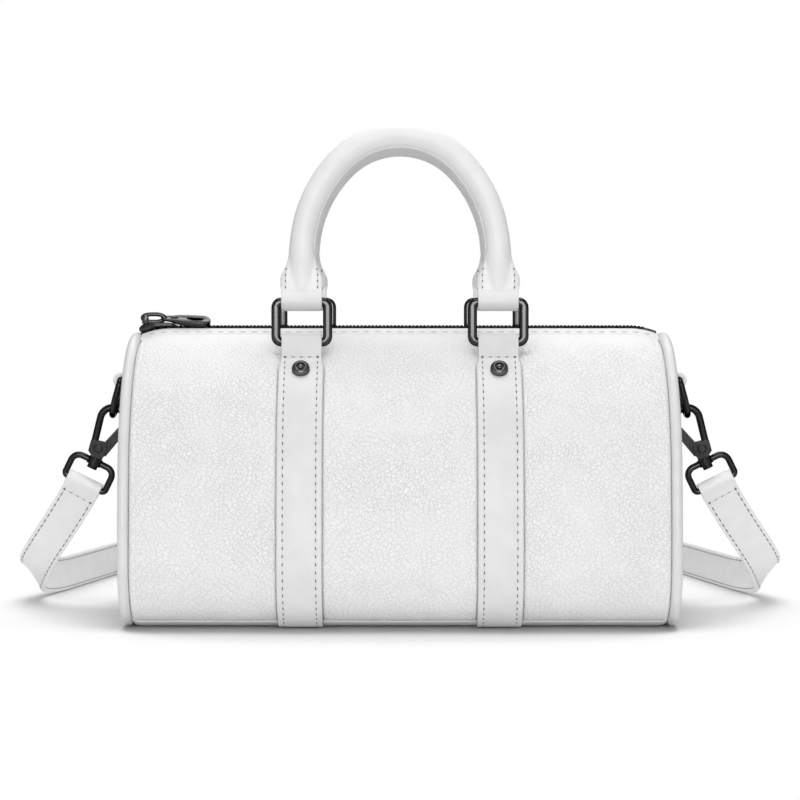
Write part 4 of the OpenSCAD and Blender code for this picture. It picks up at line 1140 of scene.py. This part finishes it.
def handle_line():
    """Middle line (X, Z) of a handle from its left foot over the arch to its right foot."""
    legs = np.stack([np.full(24, -BAND_X), np.linspace(SLAB_Z, LEG_Z, 24)], -1)
    left = arc(ARCH_SIDE_R, 180, 180 - ARCH_SIDE_ANGLE, 24, (ARCH_SIDE_R - BAND_X, LEG_Z))[1:]
    top = arc(ARCH_TOP_R, 180 - ARCH_SIDE_ANGLE, ARCH_SIDE_ANGLE, 44, (0, LEG_Z + ARCH_DROP))
    half = np.concatenate([legs, left])
    return np.concatenate([half, top[1:-1], half[::-1] * (-1, 1)])


def handle(name, face):
    """A rolled grip with a raised seam inside its arch, flattened to two ears at each end."""
    path = at_y(face * RING_Y, handle_line())
    height = path[:, 2]
    out = np.tile((0.0, float(face), 0.0), (len(path), 1))
    across = np.cross(out, directions(path))
    near_foot = (np.abs(np.abs(path[:, 0]) - BAND_X) < 3) & (height < 178)
    width, slab, ridge, tube = (
        np.where(near_foot, np.interp(height, heights, sizes), sizes[-1])[:, None]
        for heights, sizes in (EAR_HALF_WIDTH, EAR_SLAB, EAR_RIDGE, EAR_TUBE))
    a = width * np.sin(np.radians(np.linspace(-90, 90, 27)))
    roll = ridge * np.sqrt(np.clip(1 - (a / tube) ** 2, 0, 1))
    slab = slab * np.sqrt(np.clip(1 - (np.abs(a) / width) ** 8, 0, 1))
    front = np.stack([a, (roll**4 + slab**4) ** 0.25], -1)
    grip = swept(path, across, out, np.concatenate([front, front[:, -2:0:-1] * (1, -1)], 1))
    above = height > GRIP_SEAM_Z
    inwards = across[above] * face
    seam = swept(path[above] + inwards * (GRIP_R + 0.02), inwards, out[above],
                 rounded(GRIP_SEAM_R, 8))
    # The back handle takes the leather painted darker as shade
    make(name, name, GRIP if face < 0 else SHADED_BACK_GRIP, together(grip, seam),
         crease=70)


def handle_sewing(face):
    """Needle holes, each a dark dot of painted shade, and stitches down each ear, on both of its
    faces.
    """
    sewing = Sewing()
    for side in (-1, 1):
        for ear in (-1, 1):
            for way in (-1, 1):
                places = EAR_HOLES * (ear, way, 1) + (side * BAND_X, face * RING_Y, 0)
                out = (0.0, way, 0.0)
                sewing.put(sewing.hole, 1.3, places, UP, out)
                sewing.put(sewing.stitch, ("white", 2.1), (places[1:] + places[:-1]) / 2, UP, out)
    return sewing


def handle_tab(name, body, side, face):
    """Two layers of a leather tab that hold the ring's upper bar and go up into the handle."""
    up = np.array([(0.7, 11.5), (0.9, 9.0), (1.3, 7.0), (1.85, 5.4), (2.5, 3.3), (2.95, 1.6)])
    line = np.concatenate([up, arc(LOOP_MIDDLE_R, 4, -184, 32), (up * (-1, 1))[::-1]])
    line = softened(evened(line, 0.6), 4)
    near_bar = np.hypot(*line.T) < 4.4
    thick = levelled(np.where(near_bar, LOOP_R - BORE_R - 0.06, 1.0), 4)
    strip = Strip(at_x(side * BAND_X, line + (face * RING_Y, BAR_Z)), ALONG, TAB_W, thick, None)
    make(name, body, LOOP, strip.solid())


# ---------------------------------------------------------------- side tabs and strap

def side_tab(name, side, sewing):
    """A folded strip, sewn to the end, that carries the D-ring."""
    r = D_WIRE_R + 0.05 + 1.22
    over = D_BAR[1] + r
    line = np.concatenate([
        [(-123.1, 85.9), (-123.1, 95.0), (-123.15, 100.0), (-123.6, 103.6), (-125.4, 106.0)],
        arc(r, -60, -270, 34, D_BAR),
        [(-127.0, over), (-124.2, over - 0.1), (-122.3, over - 0.3)]])
    line = softened(evened(line, 0.9), 4)
    strip = Strip(at_y(0.0, line * (-side, 1)), ACROSS, SIDE_TAB_W, SIDE_TAB_T, SIDE_TAB_ROW,
                  (side, 0, 0))
    make(name, "bag", SMOOTH, strip.solid())
    face = 1 if strip.out[3][0] * side > 0 else -1
    for row in (-SIDE_TAB_ROW, SIDE_TAB_ROW):
        sewing.row(strip, *SIDE_TAB_SEWN, SIDE_TAB_PITCH, row, face)
    for length in SIDE_TAB_SEWN:
        sewing.cross_row(strip, length, np.array([-3.1, 0.0, 3.1]), 2.29, face)


LEAVE_FRAME = unit((-0.3505, 0.6008, -0.7185))
LEAVE_PULL, ARRIVE_PULL = 180, 200
STRAP_SWAY = (-5.7, 0, 0.3)


def strap_run():
    """The left hanging run: points and ways across, from the frame's bar to where it stands.
    It leaves flat on the frame and turns until its left edge is its top edge."""
    heading = math.radians(STAND_HEADING)
    start, end = FRAME_BAR + 2.05 * LEAVE_FRAME, np.array((*STAND, STRAP_W / 2))
    arrive = np.array((math.cos(heading), math.sin(heading), 0))
    u = np.linspace(0, 1, 73)[:, None]
    points = ((2 * u**3 - 3 * u**2 + 1) * start + (u**3 - 2 * u**2 + u) * LEAVE_PULL * LEAVE_FRAME
              + (3 * u**2 - 2 * u**3) * end + (u**3 - u**2) * ARRIVE_PULL * arrive)
    sway = np.sin(math.pi / 2 * np.minimum(u / 0.5, 1)) * eased((1 - u) / 0.35)
    angle = -HOOK_LEAN - (math.pi / 2 - HOOK_LEAN) * eased((u[:, 0] - 0.35) / 0.65)
    return points + sway * STRAP_SWAY, at_y(0.0, np.stack([np.cos(angle), np.sin(angle)], -1))


def strap_walk():
    """The standing strap's line (X, Y) behind the bag, in three rows, a bend at a time."""
    line, heading = [STAND], math.radians(STAND_HEADING)

    def go(length):
        line.append(line[-1] + length * np.array((math.cos(heading), math.sin(heading))))

    def straight(length):
        steps = max(int(length / 4), 1)
        for _ in range(steps):
            go(length / steps)

    def bend(radius, turn):
        nonlocal heading
        steps = max(int(abs(turn) / 6), 2)
        half = math.radians(turn) / steps / 2
        for _ in range(steps):
            heading += half
            go(2 * radius * math.sin(abs(half)))
            heading += half

    straight(FIRST_LENGTH)
    bend(WIDE_BEND_R, -STAND_HEADING)
    straight(ROWS_TO_X - line[-1][0])
    bend(TIGHT_BEND_R, 180)
    straight(ROW_LENGTH)
    bend(TIGHT_BEND_R, -180)
    straight(LAST_ROW_TO_X + ROWS_TO_X)
    bend(WIDE_BEND_R, -STAND_HEADING)
    straight(LAST_LENGTH)
    return np.array(line)


def strap(sewing):
    """The shoulder strap in one: looped round each frame, hanging, and standing behind the bag.
    Its ends are folded back on themselves, and two thin layers there make one thick one."""
    points, across = strap_run()
    bar_way = np.array((math.cos(HOOK_LEAN), 0, -math.sin(HOOK_LEAN)))
    normal = np.cross(LEAVE_FRAME, bar_way)
    loop = arc(FRAME_WIRE_R + 0.08 + 0.9, -100, -260, 22)
    loop = FRAME_BAR + loop[:, :1] * LEAVE_FRAME + loop[:, 1:] * normal
    out = unit(np.cross(directions(points), across))
    if np.dot(out[0], normal) < 0:
        out = -out
    folded, apart = 13, 0.95
    single = eased((np.arange(len(points)) - folded) / 5.0)
    back = (points - out * apart)[2:folded][::-1]
    front = (points + out * apart * (1 - single)[:, None])[2:]
    half = np.concatenate([back, loop, front])
    ways = np.concatenate([across[2:folded][::-1], np.tile(bar_way, (len(loop), 1)), across[2:]])
    doubled = len(back) + len(loop)
    thick = np.concatenate([np.full(doubled, STRAP_FOLD_T),
                            STRAP_FOLD_T + (STRAP_T - STRAP_FOLD_T) * single[2:]])
    standing = np.insert(strap_walk(), 2, STRAP_W / 2, axis=1)[1:-1]
    mirror = np.array((-1, 1, 1))
    path = np.concatenate([half, standing, (half * mirror)[::-1]])
    ways = np.concatenate([ways, np.tile(UP, (len(standing), 1)), (ways * mirror)[::-1]])
    # The way across may turn round from one point to the next, and the face must stay the same
    for i in range(1, len(ways)):
        if np.dot(ways[i], ways[i - 1]) < 0:
            ways[i] = -ways[i]
    thick = np.concatenate([thick, np.full(len(standing), STRAP_T), thick[::-1]])
    strip = Strip(path, ways, STRAP_W, thick, STRAP_ROW)
    make("shoulder_strap", "bag", SMOOTH, strip.solid(),
         stands_for=["left_strap_end", "strap_middle", "right_strap_end"])
    start = strip.lengths[doubled] + 0.4
    end = strip.lengths[-1] - start
    for face in (-1, 1):
        for row in (-STRAP_ROW, STRAP_ROW):
            sewing.row(strip, start, end, STRAP_PITCH, row, face, share=0.46, mark=2.7)
    for length in (start, end):
        for face in (-1, 1):
            sewing.cross_row(strip, length, np.linspace(-STRAP_ROW, STRAP_ROW, 5), 2.0, face, 1.9)


# ---------------------------------------------------------------- making it all

for face_name, face_side in FACES:
    wrap_panel(face_name + "_panel", face_side)
    strip_along_zip(face_name + "_placket", SHADED_TRIM, SEAM_X, PLACKET_SECTION,
                    face_side, 0.05)
    strip_along_zip(face_name + "_zip_tape", TAPE, SEAM_X + 1, TAPE_SECTION, face_side)
base()
lining()
zip_rows()
zip_ends()
slider_body()
pull_link()
pull_tab()
rivets()
hook_pivots()
bag_sewing = Sewing()
bands(bag_sewing)
placket_sewing(bag_sewing)
for end_name, end_side in ENDS:
    end_panel(end_name + "_end_panel", end_side)
    piping(end_name + "_piping", end_side)
    side_tab(end_name + "_side_tab", end_side, bag_sewing)
strap(bag_sewing)
bag_sewing.made("bag")
for face_name, face_side in FACES:
    handle(face_name + "_handle", face_side)
    handle_sewing(face_side).made(face_name + "_handle")
    for end_name, end_side in ENDS:
        handle_tab(f"{face_name}_{end_name}_handle_tab", face_name + "_handle", end_side, face_side)
        ring(f"{face_name}_{end_name}_ring", end_side, face_side)

NODE_FINISHES = {"zip": ZIP_METAL, "pull": ZIP_METAL, "spring": STEEL, "core": CORD, "board": BOARD}
for node_name, node_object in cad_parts.items():
    chosen = [finish for word, finish in NODE_FINISHES.items() if word in node_name]
    node_object.data.materials.clear()
    node_object.data.materials.append(chosen[0] if chosen else GUNMETAL)


# ---------------------------------------------------------------- floor, light and camera

def floor():
    """A plain pale floor that keeps the object's shadow and reads white to the camera, with a
    painted contact shade where its glow fades near things.
    """
    f = Finish("studio floor", (0.6, 0.6, 0.6), 0.9, specular_ior_level=0.1)
    path = f.add("LightPath").outputs
    seen = f.math("MAXIMUM", f.math("MAXIMUM", path["Is Camera Ray"], path["Is Glossy Ray"]),
                  path["Is Transmission Ray"])
    reach = f.add("VectorMath", {0: f.where()}, operation="LENGTH").outputs["Value"]
    tone = f.tinted(f.ranged(reach, 0.15, 0.5), FLOOR_NEAR, FLOOR_FAR)
    f.wire(f.tinted(seen, tone, FLOOR_SEEN), "Base Color")
    glow = f.add("Emission", {"Color": (1, 1, 1, 1), "Strength": 1.0}).outputs[0]
    # Painted shade: near things the glow fades by ambient occlusion, darkening the floor round
    # where they stand
    clear = f.add("AmbientOcclusion", {"Distance": 0.13}, samples=12).outputs["AO"]
    share = f.math("MULTIPLY", seen, f.ranged(clear, 0.44, 0.75))
    mixed = f.add("MixShader", {0: share, 1: f.shader.outputs[0], 2: glow}).outputs[0]
    f.tree.links.new(mixed, f.tree.nodes["Material Output"].inputs["Surface"])
    size = 14.0
    mesh = bpy.data.meshes.new("floor")
    mesh.from_pydata([(-size, -size, 0), (size, -size, 0), (size, size, 0), (-size, size, 0)], [],
                     [(0, 1, 2, 3)])
    mesh.materials.append(f.material)
    plane = bpy.data.objects.new("floor", mesh)
    plane.location.z = -0.0002
    bpy.context.scene.collection.objects.link(plane)


def surroundings():
    """A white studio, brighter in front of the object than beside and over it."""
    world = bpy.data.worlds.new("studio")
    bpy.context.scene.world = world
    world.use_nodes = True
    tree = world.node_tree
    tree.nodes.clear()
    toward = add(tree, "ShaderNodeSeparateXYZ",
                 {0: add(tree, "ShaderNodeTexCoord").outputs["Generated"]}).outputs["Y"]
    level = add(tree, "ShaderNodeMapRange",
                {"Value": toward, "From Min": -0.3, "From Max": -0.95, "To Min": SKY_BESIDE,
                 "To Max": SKY_FRONT}, interpolation_type="SMOOTHSTEP").outputs["Result"]
    soft, white = (add(tree, "ShaderNodeBackground", {"Color": (1, 1, 1, 1), "Strength": strength})
                   for strength in (level, 1.0))
    seen = add(tree, "ShaderNodeLightPath").outputs["Is Camera Ray"]
    mixed = add(tree, "ShaderNodeMixShader", {0: seen, 1: soft.outputs[0], 2: white.outputs[0]})
    add(tree, "ShaderNodeOutputWorld", {"Surface": mixed.outputs[0]})


def lamp(name, at, aim, width, height, power):
    """A rectangular softbox at one place, turned to another. Its sizes are in metres."""
    data = bpy.data.lights.new(name, "AREA")
    data.shape = "RECTANGLE"
    data.size, data.size_y = width, height
    data.energy = power
    light = bpy.data.objects.new(name, data)
    light.location = at
    light.rotation_euler = (Vector(aim) - Vector(at)).to_track_quat("-Z", "Y").to_euler()
    bpy.context.scene.collection.objects.link(light)


floor()
surroundings()
lamp("top_softbox", (0.0, -0.2, 1.5), (0, 0, 0.1), 1.0, 0.75, 9.0)
lamp("front_softbox", (0.0, -2.0, 0.34), (0, 0, 0.34), 0.95, 0.52, 12.7)
lamp("back_softbox", (0.1, 1.35, 1.65), (0, 0, 0.1), 1.6, 0.9, 13.0)

camera = bpy.data.objects.new("camera", bpy.data.cameras.new("camera"))
camera.data.lens = 112.5
camera.data.sensor_width = 36.0
camera.location = (0.0, -1.168, 0.1457)
camera.rotation_euler = (math.radians(90 - 2.22), 0, 0)
bpy.context.scene.collection.objects.link(camera)
bpy.context.scene.camera = camera
bpy.context.scene.view_settings.view_transform = "Standard"
